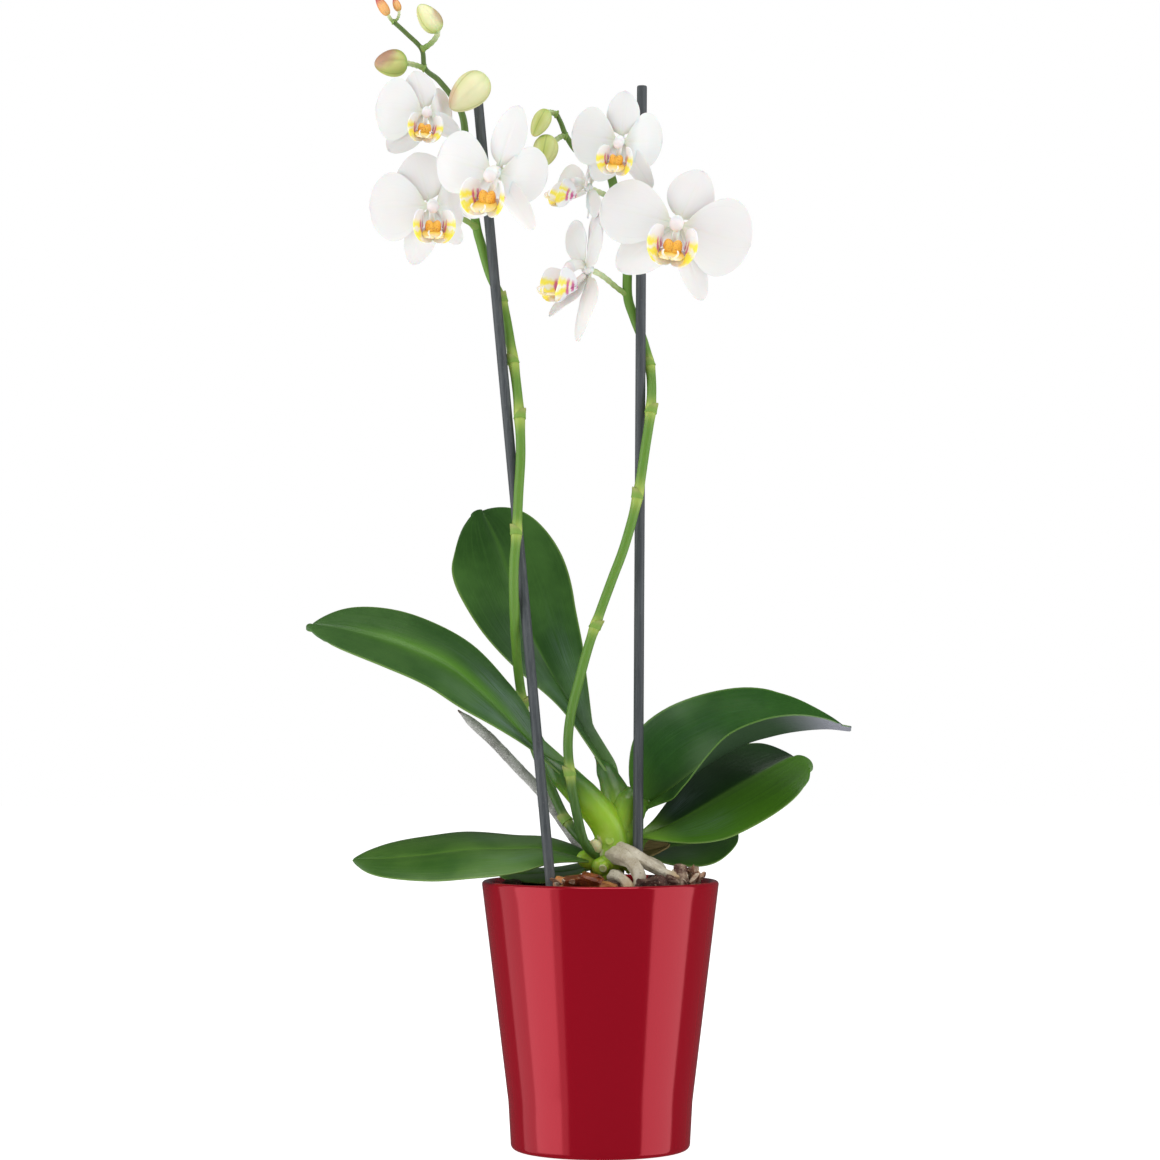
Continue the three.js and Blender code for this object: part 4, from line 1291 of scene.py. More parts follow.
@dataclass
class BarkBed:
    """The bed of bark in the grow pot: a heaped filling with loose chips over its top."""

    floor: float = 7.68
    foot_radius: float = 39.8
    top_radius: float = 57.3
    top: float = 141.5
    heap: float = 4.5
    chips: int = 150
    seed: int = 11
    strip_seed: int = 5

    def build(self) -> None:
        """Makes the filling with its small chips, then the large chips and frayed strips at the front."""
        self.filling()
        self.front_chips()
        self.frayed()

    def surface(self, out: float) -> float:
        """The height of the heap at a distance from the middle."""
        return self.top + self.heap * (1 - smoothstep(out, 10, 52)) + 0.5

    def filling(self) -> None:
        """Makes the filling and the small chips over it."""
        bm = new_mesh()
        level = bm.verts.layers.float[TONE]
        outer = [(0.0, self.floor), (self.foot_radius, self.floor), (self.top_radius, self.top - 2)]
        rings = [self.top_radius * k / 14 for k in range(13, -1, -1)]
        turn_profile(bm, outer + [(ring, self.surface(ring)) for ring in rings], 72)
        for vert in bm.verts:
            vert[level] = 0.15
            if vert.co.z > self.top - 1.5 and vert.co.xy.length < self.top_radius - 1:
                vert.co.z += 1.6 * grain(vert.co, 7.0) - 0.8
        roll = random.Random(self.seed)
        golden = math.pi * (3 - math.sqrt(5))
        for k in range(self.chips):
            out = (self.top_radius - 4) * math.sqrt((k + 0.5) / self.chips)
            size = roll.uniform(5, 13) * (0.75 if out > self.top_radius - 9 else 1)
            height = self.surface(out) + roll.uniform(-0.5, 2)
            spot = (out * math.cos(k * golden), out * math.sin(k * golden), height)
            turn = (roll.uniform(-0.5, 0.5), roll.uniform(-0.5, 0.5), roll.uniform(0, 6.28))
            sizes = (size, size * roll.uniform(0.45, 0.8), size * roll.uniform(0.2, 0.45))
            seed = roll.uniform(0, 100)
            Chip(spot, sizes, turn, roll.uniform(0.1, 1.0)).add(bm, seed, 2)
        finish = BarkFinish("pine_bark", srgb(38, 22, 14), srgb(96, 60, 36), srgb(158, 118, 80))
        finish_piece(bm, "bark_bed", finish.build(), ["bark"], "bark", 38)

    def front_chips(self) -> None:
        """Makes the glossy red brown chunk at the left and the dark pieces at the right."""
        red = BarkFinish("red_bark", srgb(50, 19, 9), srgb(120, 54, 22), srgb(208, 140, 76), 0.6)
        dark = BarkFinish("dark_bark", srgb(30, 17, 15), srgb(84, 50, 40), srgb(204, 182, 156), 0.15)
        left = [
            Chip((-13.0, -36.0, 152.0), (17, 9, 8.5), (0.25, -0.1, 0.15), 0.35),
            Chip((-5.0, -37.0, 152.5), (14, 7, 9.0), (0.5, 0.35, -0.35), 0.45),
            Chip((-21.0, -33.0, 151.5), (9, 8, 7.0), (0.1, 0.4, 0.8), 0.95),
            Chip((4.5, -41.0, 150.0), (9, 6, 5.5), (0.1, 0.3, -0.3), 0.8),
        ]
        right = [
            Chip((30.0, -38.0, 151.0), (13, 9, 9.5), (0.3, -0.25, -0.5), 0.35),
            Chip((45.0, -26.0, 155.0), (7, 6, 15.0), (-0.3, 0.3, 0.9), 0.6),
            Chip((53.0, -18.0, 154.5), (6, 5, 13.0), (0.3, -0.2, 0.4), 0.75),
            Chip((39.0, -32.0, 152.0), (8, 6, 8.0), (0.3, 0.5, 0.2), 0.5),
            Chip((25.0, -34.0, 150.5), (11, 7, 8.0), (0.2, 0.1, 0.4), 0.35),
            Chip((10.0, -24.0, 149.5), (16, 10, 6.5), (0.1, 0.1, 0.1), 0.3),
            Chip((-47.0, 6.0, 150.5), (12, 10, 6.5), (0.2, 0.1, 0.3), 0.2),
            Chip((-50.0, -9.0, 149.5), (10, 8, 6.0), (0.1, -0.2, 0.9), 0.3),
            Chip((-39.0, 14.0, 151.0), (11, 9, 6.0), (-0.2, 0.1, 1.7), 0.25),
            Chip((-36.0, 24.0, 148.5), (16, 11, 6.0), (0.1, 0.2, 1.2), 0.4),
            Chip((36.0, 24.0, 149.0), (17, 11, 7.0), (0.2, -0.1, 2.5), 0.4),
            Chip((-44.0, -8.0, 147.0), (14, 9, 5.0), (0.0, 0.2, 0.5), 0.45),
        ]
        for name, chips, finish in (("red_chips", left, red), ("dark_chips", right, dark)):
            bm = new_mesh()
            for k, chip in enumerate(chips):
                chip.add(bm, 40.0 + 7 * k, 7)
            finish_piece(bm, name, finish.build(), [], "bark", 34)

    def frayed(self) -> None:
        """Makes the thin curled strips that stand off the chips at the right and the left."""
        bm = new_mesh()
        roll = random.Random(self.strip_seed)
        places = [
            (48 + roll.uniform(-6, 8), -23 + roll.uniform(-6, 8), roll.uniform(151, 157)) for _ in range(26)
        ]
        places += [(-12 + roll.uniform(-12, 14), -38 + roll.uniform(-5, 6), 152.0) for _ in range(10)]
        for start in map(Vector, places):
            way = Vector((roll.uniform(-1, 1), roll.uniform(-1, 0.5), roll.uniform(0.1, 1.0))).normalized()
            reach = roll.uniform(4, 9)
            curl = Vector((roll.uniform(-1, 1), roll.uniform(-1, 1), roll.uniform(-0.6, 0.8))) * 1.4
            keel = [start, start + way * reach * 0.5 + curl, start + way * reach]
            look = way.orthogonal()
            form = BladeForm(keel, [look, look + Vector((0.5, 0.2, 0.3))], roll.uniform(0.6, 1.5), 0.6, 0.2)
            wide = roll.uniform(0.1, 1.0)
            shell(bm, 2, 5, form.point, lambda t, u: 0.22, tone=lambda t, u, way, wide=wide: wide)
        finish = BarkFinish("frayed_bark", srgb(88, 52, 44), srgb(160, 122, 96), srgb(238, 226, 200))
        finish_piece(bm, "frayed_bark", finish.build(), [], "bark", 40)


# Leaves


@dataclass
class Leaf:
    """One strap leaf: a thick waxy blade, folded along its rib at its foot."""

    name: str
    node: str
    form: BladeForm
    finish: LeafFinish
    seed: float = 0.0
    thick: float = 0.9

    def half(self, t: float, u: float) -> float:
        """Half of the leaf's thickness at t along and u across, more at its foot, less at its margins."""
        return (self.thick + 0.7 * (1 - smoothstep(t, 0.0, 0.25))) * (1 - 0.6 * u**4)

    def middle(self, t: float, u: float) -> Vector:
        """A point of the leaf's middle surface, with a groove along its rib and slight unevenness.

        Args:
            t: how far along, 0 to 1.
            u: how far across, -1 to 1.

        Returns:
            The point.
        """
        spot = self.form.point(t, u)
        face = self.form.looks[0].lerp(self.form.looks[1], t).normalized()
        groove = -0.7 * bell(u, 0.0, 0.07) * smoothstep(t, 0.05, 0.4) * (1 - 0.7 * t)
        uneven = 0.55 * grain(spot, 34.0, self.seed) * smoothstep(t, 0.15, 0.5)
        return spot + face * (groove + uneven)

    def build(self) -> None:
        """Makes the leaf."""
        bm = new_mesh()
        shell(bm, 36, 72, self.middle, self.half, tip_rows, lambda t, u, way: 1.0 if way < 0 else 0.0)
        finish_piece(bm, self.name, self.finish.build(), [self.node], "leaf", 75)


def strap(keel: Sequence[Point], faces: Sequence[Point], width: float, **form: float) -> BladeForm:
    """A leaf's form, with the tip and the slight wave that the leaves share where nothing else is given."""
    return BladeForm(keel, faces, width, **{"tip": 1.5, "wave": 1.0, "waves": 3.0, **form})


def make_leaves() -> list[Leaf]:
    """The plant's seven leaves, from the upright one at the back to the small one at the rim.

    Returns:
        The leaves.
    """
    return [
        Leaf(
            "upright_leaf", "leaf_back",
            strap(
                [(8, 10, 206), (2, 18, 217), (-8, 28, 234), (-19, 38, 254), (-31, 45, 275), (-44, 50, 301)]
                + [(-53, 53, 327), (-60, 54, 347), (-69, 52, 366)],
                [(0.5, -0.8, 0.3), (0.02, -0.97, 0.25)],
                29, start=0.27, root=7.5, neck=0.65, tip=4, skew=1.9, blunt=0.75, tip_blunt=0.55,
                lobe=8.0, reach=2.0, other_skew=1.45, root_fold=48, fold=12, fold_end=0.65, arch=0.05,
            ),
            LeafFinish(
                "leaf_skin_back", srgb(36, 72, 22), srgb(62, 102, 40),
                rib=srgb(74, 116, 44), foot=srgb(76, 122, 38), foot_end=0.2,
            ),
            3.0,
        ),
        Leaf(
            "high_left_leaf", "leaf_left_high",
            strap(
                [(-1, -5, 189), (-10, -7, 199), (-27, -8, 216.5), (-46, -9, 236), (-64, -9, 254.5)]
                + [(-86, -9, 273), (-114, -9, 286), (-143, -8, 294), (-164, -6, 297.5)],
                [(0.55, -0.5, 0.7), (0.1, -0.55, 0.83)],
                26, start=0.32, root=11.5, neck=0.5, tip=2.5, skew=1.25, tip_blunt=0.7, lobe=6.5,
                reach=3.0, root_fold=50, fold=7, fold_end=0.6, arch=0.06,
            ),
            LeafFinish(
                "leaf_skin_high", srgb(46, 84, 32), srgb(70, 108, 48),
                # Strong painted sheen near this leaf's foot.
                rib=srgb(96, 132, 76), band=srgb(84, 136, 32), painted_sheen=0.7,
            ),
            7.0,
        ),
        Leaf(
            "broad_right_leaf", "leaf_right_high",
            strap(
                [(17, 7, 188), (25, 14, 193), (40, 15, 202.5), (58, 8, 216), (80, -2, 229.5)]
                + [(98, -10, 235.5), (113.5, -16, 238.5), (128, -21, 239.5), (140.5, -25, 238)],
                [(0, -0.8, 0.6), (0, 0, 1)],
                43.5, start=0.08, root=4, skew=0.67, blunt=1.2, lobe=-4.0, reach=1.0, tuck=-0.68,
                tuck_end=0.5, other_skew=0.6, root_fold=50, fold=33, fold_end=0.5, arch=0.1,
            ),
            LeafFinish(
                "leaf_skin_broad", srgb(32, 76, 19), srgb(48, 96, 27),
                # Its underside tip colour is painted grey-blue sheen.
                rib=srgb(96, 138, 56), under=srgb(44, 64, 44), under_tip=srgb(136, 138, 148),
                # Its half colour is painted shade on the near half.
                painted_sheen=0.06, margin=srgb(100, 140, 60), half=srgb(36, 66, 26), foot=srgb(88, 136, 42),
                foot_end=0.2,
            ),
            11.0,
        ),
        Leaf(
            "long_right_leaf", "leaf_right_mid",
            strap(
                [(16, 4, 174), (25, 7, 177), (38, 10, 182), (53, 13, 189.5), (67, 17, 197.5)]
                + [(83, 22, 206.5), (98, 28, 214.5), (112, 34, 221.5)],
                [(0, -0.6, 0.8), (0.05, -0.55, 0.83)],
                25, start=0.12, root=6, tip=8, skew=1.4, blunt=0.4, lobe=-17.0, reach=6.0, tuck=0.72,
                tuck_end=0.58, root_fold=35, fold=2, fold_end=0.5, arch=0.06,
            ),
            LeafFinish(
                "leaf_skin_long", srgb(20, 46, 16), srgb(32, 62, 26),
                # Its half colour is painted light on the lower half.
                rib=srgb(84, 126, 44), half=srgb(70, 118, 25),
            ),
            13.0,
        ),
        Leaf(
            "low_left_leaf", "leaf_left_low",
            strap(
                [(-3, 0, 161.5), (-11, -2, 164), (-31, -6, 169.5), (-52, -8, 170), (-75, -10, 169.5)]
                + [(-98, -10, 166.5), (-122, -10, 164.5), (-140, -9, 164)],
                [(0, -0.3, 0.95), (0, -0.55, 0.83)],
                23, start=0.08, root=6, skew=1.1, blunt=0.75, root_fold=30, fold=3, arch=0.16,
            ),
            LeafFinish(
                "leaf_skin_low", srgb(52, 92, 28), srgb(84, 122, 48), rib=srgb(96, 138, 50), foot_end=0.1,
            ),
            17.0,
        ),
        Leaf(
            "low_right_leaf", "leaf_right_low",
            strap(
                [(8, 8, 164), (22, 15, 167), (38, 20, 169.5), (54, 25, 171.5), (67, 29, 174), (80, 33, 177)],
                [(0, -0.35, 0.93), (0.1, -0.5, 0.86)],
                23, start=0.05, root=6, blunt=0.7, root_fold=25, fold=8, arch=0.1,
            ),
            LeafFinish("leaf_skin_right", srgb(40, 80, 22), srgb(70, 108, 36), foot_end=0.12),
            19.0,
        ),
        Leaf(
            "small_left_leaf", "leaf_left_small",
            strap(
                [(0, 3, 160), (-14, 3, 157), (-32, 3, 155), (-46, 4, 154.5), (-58, 5, 155.5)],
                [(0, -0.2, 0.97), (0, -0.3, 0.95)],
                11, start=0.05, root=5, blunt=0.75, root_fold=20, fold=5, arch=0.1,
            ),
            LeafFinish("leaf_skin_small", srgb(82, 126, 54), srgb(114, 154, 72), foot_end=0.1),
            23.0,
        ),
    ]


# Crown, roots and sticks


@dataclass(frozen=True)
class Sheath:
    """One leaf foot on the crown: its line, its radii and how far round the crown it folds, in degrees."""

    line: Sequence[Point]
    radii: Sequence[float]
    wrap: float
    half: float = 0.9

    def add(self, bm: Form) -> None:
        """Adds the sheath: a thick fleshy sheet bent round its line, that slides under its leaf's foot.

        Args:
            bm: the mesh to add to.
        """
        middle = Line(self.line)
        steps = 48
        frames = middle.frames(steps)

        def spot(t: float, u: float) -> Vector:
            centre, _, _ = frames[round(t * steps)]
            along = middle.along(t)
            front = Vector((0.12, -1, 0.1))
            front = (front - along * front.dot(along)).normalized()
            side = along.cross(front)
            angle = math.radians(lerp(self.wrap, self.wrap * 0.72, smoothstep(t, 0.2, 1.0))) * u
            reach = read_at(self.radii, t) * (1 - 0.1 * smoothstep(t, 0.15, 0.0))
            reach *= 1 + 0.03 * grain(Vector((u * 9, t * 30, self.wrap)), 8.0)
            return centre + (front * math.cos(angle) + side * math.sin(angle)) * reach

        def half(t: float, u: float) -> float:
            return self.half * (1 - 0.5 * abs(u) ** 6) * (1 - 0.6 * smoothstep(t, 0.7, 1.0))

        shell(bm, 30, steps, spot, half)


@dataclass(frozen=True)
class Stub:
    """A cut ring on the crown: its foot, its end, its radius, the radius of its bore and its tone."""

    foot: Point
    end: Point
    wide: float
    bore: float
    tone: float

    def add(self, bm: Form) -> None:
        """Adds the stub with a rim round its bore.

        Args:
            bm: the mesh to add to.
        """
        foot, end = Vector(self.foot), Vector(self.end)
        out = (end - foot).normalized()
        side = out.orthogonal().normalized()
        rim = [Quaternion(out, math.radians(45 * k)) @ side * (self.bore + 0.5) + end for k in range(9)]

        def radius(t: float, turn: float) -> float:
            return self.wide * (1.18 - 0.2 * t) * (1 - 0.18 * smoothstep(t, 0.85, 1))

        tube(bm, Line([foot, foot.lerp(end, 0.5), end]), radius, 28, 12)
        tube(bm, Line(rim), lambda t, turn: 0.6, 10, 40, lambda t: self.tone)
        mouth = Line([end - out * 1.2, end - out * 0.1, end + out * 0.5])
        tube(bm, mouth, lambda t, turn: self.bore, 20, 3, lambda t: self.tone * 0.6)


@dataclass
class Crown:
    """The stem between the leaves, with the sheaths that clasp it, its scars and its old cut ends."""

    finish: CrownFinish = CrownFinish()

    def build(self) -> None:
        """Makes the crown in one piece."""
        bm = new_mesh()
        self.trunk(bm)
        for sheath in self.sheaths():
            sheath.add(bm)
        self.scars(bm)
        finish_piece(bm, "fleshy_crown", self.finish.build(), ["crown"], "crown", 65)

    def trunk(self, bm: Form) -> None:
        """Adds the stem itself.

        Args:
            bm: the mesh to add to.
        """
        line = Line([(2, 0, 138), (4, 0, 158), (6, 0, 170), (11, 1, 184), (16, 2, 196), (19, 3, 204)])
        radii = (5, 10, 11, 9.5, 8, 4)

        def radius(t: float, turn: float) -> float:
            spot = line.at(t) + Vector((math.cos(6.28 * turn), math.sin(6.28 * turn), 0)) * 9
            return read_at(radii, t) * (1 + 0.05 * grain(spot, 9.0))

        tube(bm, line, radius, 40, 60)

    def sheaths(self) -> list[Sheath]:
        """The feet of the back leaf, the two upper right ones, the high left one and the lower right one.

        Returns:
            The four sheaths.
        """
        back = [(12, 1, 178), (12.5, 4, 188), (9, 9, 200), (4, 15, 212), (-2, 22, 222)]
        right = [(11, 1, 168), (15, 3, 180), (19, 7, 190), (24, 12, 194), (28, 14, 196)]
        left = [(9, -1, 162), (7, -2, 176), (1, -4.5, 188), (-9, -8, 199.5), (-21, -9.5, 211)]
        left += [(-33, -10, 223)]
        low = [(9, 1, 160), (14, 2, 168), (20, 4, 173), (26, 6.5, 175.5)]
        return [
            Sheath(back, (9.4, 8.8, 7.4, 5.2, 1.2), 118),
            Sheath(right, (10, 8.6, 6, 3.6, 1.4), 118),
            Sheath(left, (9.6, 9, 8.6, 8.2, 7.0, 1.5), 114),
            Sheath(low, (9, 8, 5.4, 2), 116),
        ]

    def scars(self, bm: Form) -> None:
        """Adds the ring scar, the cut ring, the beige bud and the green knobs at the front.

        Args:
            bm: the mesh to add to.
        """
        Stub((5.4, -8.6, 174.5), (5.1, -11.7, 175.0), 2.8, 1.4, 0.2).add(bm)
        Stub((3.0, -9.0, 161.0), (1.4, -13.4, 159.4), 3.1, 1.3, 0.85).add(bm)
        add_knob(bm, (-1.4, -6, 169), (-4.4, -13.2, 174.6), 3.9, 24, 16)
        level = bm.verts.layers.float[TONE]
        for vert in bm.verts:
            if (vert.co - Vector((-3.0, -9.6, 171.6))).length < 6 and vert.co.x < 0.8 and vert.co.y < -8:
                vert[level] = 0.9
        add_knob(bm, (-1, 0, 163), (-13, -8, 165.4), 5.8, 28, 20)
        add_knob(bm, (4, -3, 158), (-3, -11, 163), 6.0, 28, 20)
        add_knob(bm, (4, -1, 168), (4, -10, 157), 6.6, 28, 20)


def add_knob(
    bm: Form,
    foot: Point,
    tip: Point,
    wide: float,
    sides: int,
    steps: int,
    tone: float | None = None,
) -> None:
    """Adds a blunt knob like a small bud.

    Args:
        bm: the mesh to add to.
        foot: one end of its axis.
        tip: the other end.
        wide: about half of its width.
        sides: its sides.
        steps: its rings.
        tone: the tone of its points, if they have one.
    """

    def radius(t: float, turn: float) -> float:
        return wide * math.sqrt(max(0.0, 1 - (2 * t - 1) ** 2)) * (1.08 - 0.2 * t) + 0.01

    verts = egg_form(bm, Vector(foot), Vector(tip), radius, sides, steps)
    if tone is not None:
        level = bm.verts.layers.float[TONE]
        for vert in verts:
            vert[level] = tone


@dataclass
class Root:
    """One dry root: its line, its two radii and the length of its fresh tip."""

    points: Sequence[Point]
    radii: tuple[float, float]
    fresh: float = 0.0

    def add(self, bm: Form, seed: float, rough: float) -> None:
        """Adds the root.

        Args:
            bm: the mesh to add to.
            seed: where in the noise it lies.
            rough: how strong its lumps are, as a share of its radius.
        """

        def radius(t: float, turn: float) -> float:
            angle = 2 * math.pi * turn
            spot = Vector((math.cos(angle) * 4, math.sin(angle) * 4, t * 34))
            lump = rough * grain(spot, 7.0, seed) + 0.45 * rough * grain(spot, 2.2, seed)
            lump += 0.1 * math.cos(2 * angle + seed + 5 * t) + 0.4 * smoothstep(t, 0.34, 0.0)
            lump += 0.2 * abs(math.sin(2.5 * angle + seed + 1.5 * t)) - 0.1
            return lerp(*self.radii, t) * round_end(t, 0.93) * (1 + lump) + 0.02

        def tone(t: float) -> float:
            return smoothstep(t, 1 - self.fresh, 1.0) if self.fresh else 0.0

        tube(bm, Line(self.points), radius, 26, 90, tone)


@dataclass
class Roots:
    """The thick pale roots that run from the crown's foot into the bark, and the one that climbs."""

    pale: RootFinish = RootFinish(
        "pale_roots",
        silver=srgb(206, 198, 178),
        grey=srgb(172, 160, 136),
        brown=srgb(122, 100, 72),
        tip=srgb(206, 176, 132),
    )
    dry: RootFinish = RootFinish(
        "silver_root",
        silver=srgb(168, 168, 164),
        grey=srgb(120, 119, 114),
        brown=srgb(86, 84, 78),
        tip=srgb(92, 76, 68),
        specks_and_glints=0.55,
    )

    def build(self) -> None:
        """Makes the roots at the crown and the one that climbs through the leaves."""
        skin = self.pale.build()
        self.thick(skin)
        self.short(skin)
        self.climber()

    def thick(self, skin: Material) -> None:
        """Makes the three roots over the front of the bark.

        Args:
            skin: the finish of the roots.
        """
        first = [(8, -7, 167), (16, -20, 164.5), (21, -28, 158), (22, -32, 150), (24, -35, 142)]
        second = [(9, -6, 169), (20, -19, 166), (31, -22, 160), (38, -25, 156.5), (47, -28, 154)]
        third = [(8, -14, 155), (11.5, -24, 154), (14.5, -30, 151.5), (17, -34, 145)]
        roots = [Root(first, (4.4, 3.0)), Root(second, (4.2, 2.2), 0.34), Root(third, (3.0, 3.3), 0.6)]
        bm = new_mesh()
        for k, root in enumerate(roots):
            root.add(bm, 3.0 * k, 0.17)
        finish_piece(bm, "crown_roots", skin, ["roots"], "root", 28)

    def short(self, skin: Material) -> None:
        """Makes the short root at the right.

        Args:
            skin: the finish of the roots.
        """
        points = [(10, -1, 163), (21, -3.2, 164), (28, -4.5, 163), (34, -5.5, 160), (37, -7, 155)]
        bm = new_mesh()
        Root(points, (2.5, 2.0)).add(bm, 13.0, 0.15)
        finish_piece(bm, "short_root", skin, ["root_right"], "root", 60)

    def climber(self) -> None:
        """Makes the long dry root up in the air at the left."""
        points = [(-3, 6, 164), (-10, 13, 168), (-19, 19, 180), (-33, 23, 200), (-48, 23, 216)]
        points += [(-62, 20, 231), (-73, 16, 241), (-82, 13, 249)]

        def radius(t: float, turn: float) -> float:
            swell = 1.2
            if 0 < t < 1:
                swell = 1.1 + 2.5 * math.sin(math.pi * (1 - t) ** 0.55) ** 0.5 * (1 - 0.35 * t)
            angle = 2 * math.pi * turn
            spot = Vector((math.cos(angle) * 3, math.sin(angle) * 3, t * 130))
            end = (1 - 0.7 * smoothstep(t, 0.86, 1.0)) * round_end(t, 0.99)
            return max(0.8, swell) * end * (1 + 0.07 * grain(spot, 6.0) + 0.05 * grain(spot, 1.6)) + 0.02

        bm = new_mesh()
        tube(bm, Line(points), radius, 26, 220, lambda t: smoothstep(t, 0.95, 0.985))
        finish_piece(bm, "climbing_root", self.dry.build(), ["aerial_root"], "aerial_root", 60)


@dataclass
class SupportStick:
    """One plastic-coated stick with a bevelled top."""

    name: str
    node: str
    low: Point
    high: Point
    radius: float = 2.9
    bevel: float = 0.25
    foot: float = 92.0

    def build(self, finish: Material) -> None:
        """Makes the stick, down to its foot in the bark.

        Args:
            finish: its finish.
        """
        low, high = Vector(self.low), Vector(self.high)
        way = (high - low).normalized()
        start = low + way * ((self.foot - low.z) / way.z)
        rings = 12

        def radius(t: float, turn: float) -> float:
            return self.radius - (self.bevel if t > 0.9995 or t < 0.0005 else 0.0)

        def shares(t: float) -> float:
            return t if t < 0.01 or t > 0.99 else lerp(0.0015, 0.9985, (t * rings - 1) / (rings - 2))

        bm = new_mesh()
        tube(bm, Line([start, start.lerp(high, 0.5), high]), radius, 36, rings, shares=shares)
        finish_piece(bm, self.name, finish, [self.node], "stick", 30)


@dataclass
class DrySheath:
    """The dried sheath beside the crown: a torn papery scale."""

    finish: PaperFinish = PaperFinish()

    def build(self) -> None:
        """Makes the sheath."""
        bm = new_mesh()
        form = BladeForm(
            [(12, 5, 165), (21, 7, 167), (30, 7, 169), (40, 6, 172)],
            [(0, -0.85, 0.5), (0, -0.8, 0.6)],
            4.6,
            root=3.6, skew=0.8, blunt=0.8, root_fold=30, fold=25, arch=0.1,
        )

        def middle(t: float, u: float) -> Vector:
            spot = form.point(t, u)
            return spot + Vector((0, -0.5, 0.7)) * grain(spot, 5.0) * 0.9

        shell(bm, 14, 26, middle, lambda t, u: 0.5)
        finish_piece(bm, "papery_sheath", self.finish.build(), ["dry_sheath"], "dry_sheath", 50)


# Flower spikes


@dataclass(frozen=True)
class Stalk:
    """A short stalk off a spike: a cubic curve that leaves level and arrives along a direction."""

    start: Point
    end: Point
    way: Point
    bend: float
    radii: tuple[float, float]

    def add(self, bm: Form) -> None:
        """Adds the stalk, with a swelling where it leaves the spike.

        Args:
            bm: the mesh to add to.
        """
        start, end, way = Vector(self.start), Vector(self.end), Vector(self.way).normalized()
        level = Vector((end.x - start.x, end.y - start.y, 0)).normalized()
        first = start + level * (self.bend * 0.8) + Vector((0, 0, self.bend * 0.3))
        second = end - way * self.bend

        def bezier(t: float) -> Vector:
            s = 1 - t
            return start * s**3 + first * (3 * s * s * t) + second * (3 * s * t * t) + end * t**3

        line = Line([bezier(k / 16) for k in range(17)])

        def radius(t: float, turn: float) -> float:
            return lerp(*self.radii, t) + 0.9 * bell(t, 0.0, 0.1) + 0.12 * math.sin(t * 40)

        tube(bm, line, radius, 18, 40, lambda t: t)


@dataclass
class Spike:
    """One flower spike: its stem with swollen joints, the scales at the joints, and its stalks."""

    side: str
    points: Sequence[Point]
    joints: Sequence[float]
    narrows: tuple[float, float]
    stalks: Sequence[Stalk]
    stalk_root: Colour = srgb(124, 152, 72)
    stalk_end: Colour = srgb(204, 214, 168)

    def __post_init__(self) -> None:
        """Makes the stem's line."""
        self.line = Line(self.points)

    def radius(self, t: float, turn: float) -> float:
        """The stem's radius, with a swelling at each joint."""
        swell = sum(bell(t, joint, 0.008) for joint in self.joints)
        return lerp(2.75, 1.35, smoothstep(t, *self.narrows)) * (1 + 0.18 * swell)

    def tone(self, t: float) -> float:
        """The stem's tone, towards 1 at each joint."""
        return min(1.0, sum(bell(t, joint, 0.009) for joint in self.joints)) * 0.85

    def build(self, skin: Material, scale: Material) -> None:
        """Makes the stem, its scales and its stalks.

        Args:
            skin: the stem's finish.
            scale: the scales' finish.
        """
        node = f"spike_{self.side}"
        bm = new_mesh()
        tube(bm, self.line, self.radius, 24, 420, self.tone)
        finish_piece(bm, f"{self.side}_stem", skin, [node], "spike", 60)
        bm = new_mesh()
        for k, joint in enumerate(self.joints):
            self.scale(bm, joint, 1 if k % 2 else -1)
        finish_piece(bm, f"{self.side}_scales", scale, [node], "spike", 60)
        bm = new_mesh()
        for stalk in self.stalks:
            stalk.add(bm)
        finish = StalkFinish(f"{self.side}_stalk_skin", self.stalk_root, self.stalk_end)
        finish_piece(bm, f"{self.side}_stalks", finish.build(), [node], "spike", 60)

    def scale(self, bm: Form, at: float, lean: int) -> None:
        """Adds one scale that clasps a joint and ends in a point beside the stem.

        Args:
            bm: the mesh to add to.
            at: the joint's share of the stem.
            lean: 1 for a scale on the right, -1 for one on the left.
        """
        centre, along = self.line.at(at), self.line.along(at)
        side = Vector((lean, -0.3, 0))
        side = (side - along * side.dot(along)).normalized()
        over = along.cross(side)
        reach = self.radius(at, 0)

        def spot(t: float, u: float) -> Vector:
            angle = math.radians(150 * (1 - t) ** 0.62 + 4) * u
            out = reach + 0.1 + 0.6 * t * t
            return centre + along * (6.0 * t - 1.8) + (side * math.cos(angle) + over * math.sin(angle)) * out

        shell(bm, 18, 12, spot, lambda t, u: 0.3)


# Blooms


class BloomPart(Enum):
    """A piece of a bloom: the word for it, the end of its node's name and its slot."""

    PETALS = ("petals", "tepals", "tepal")
    WINGS = ("wings", "lip", "lip")
    HEART = ("heart", "lip", "lip")
    PILLAR = ("pillar", "column", "column")


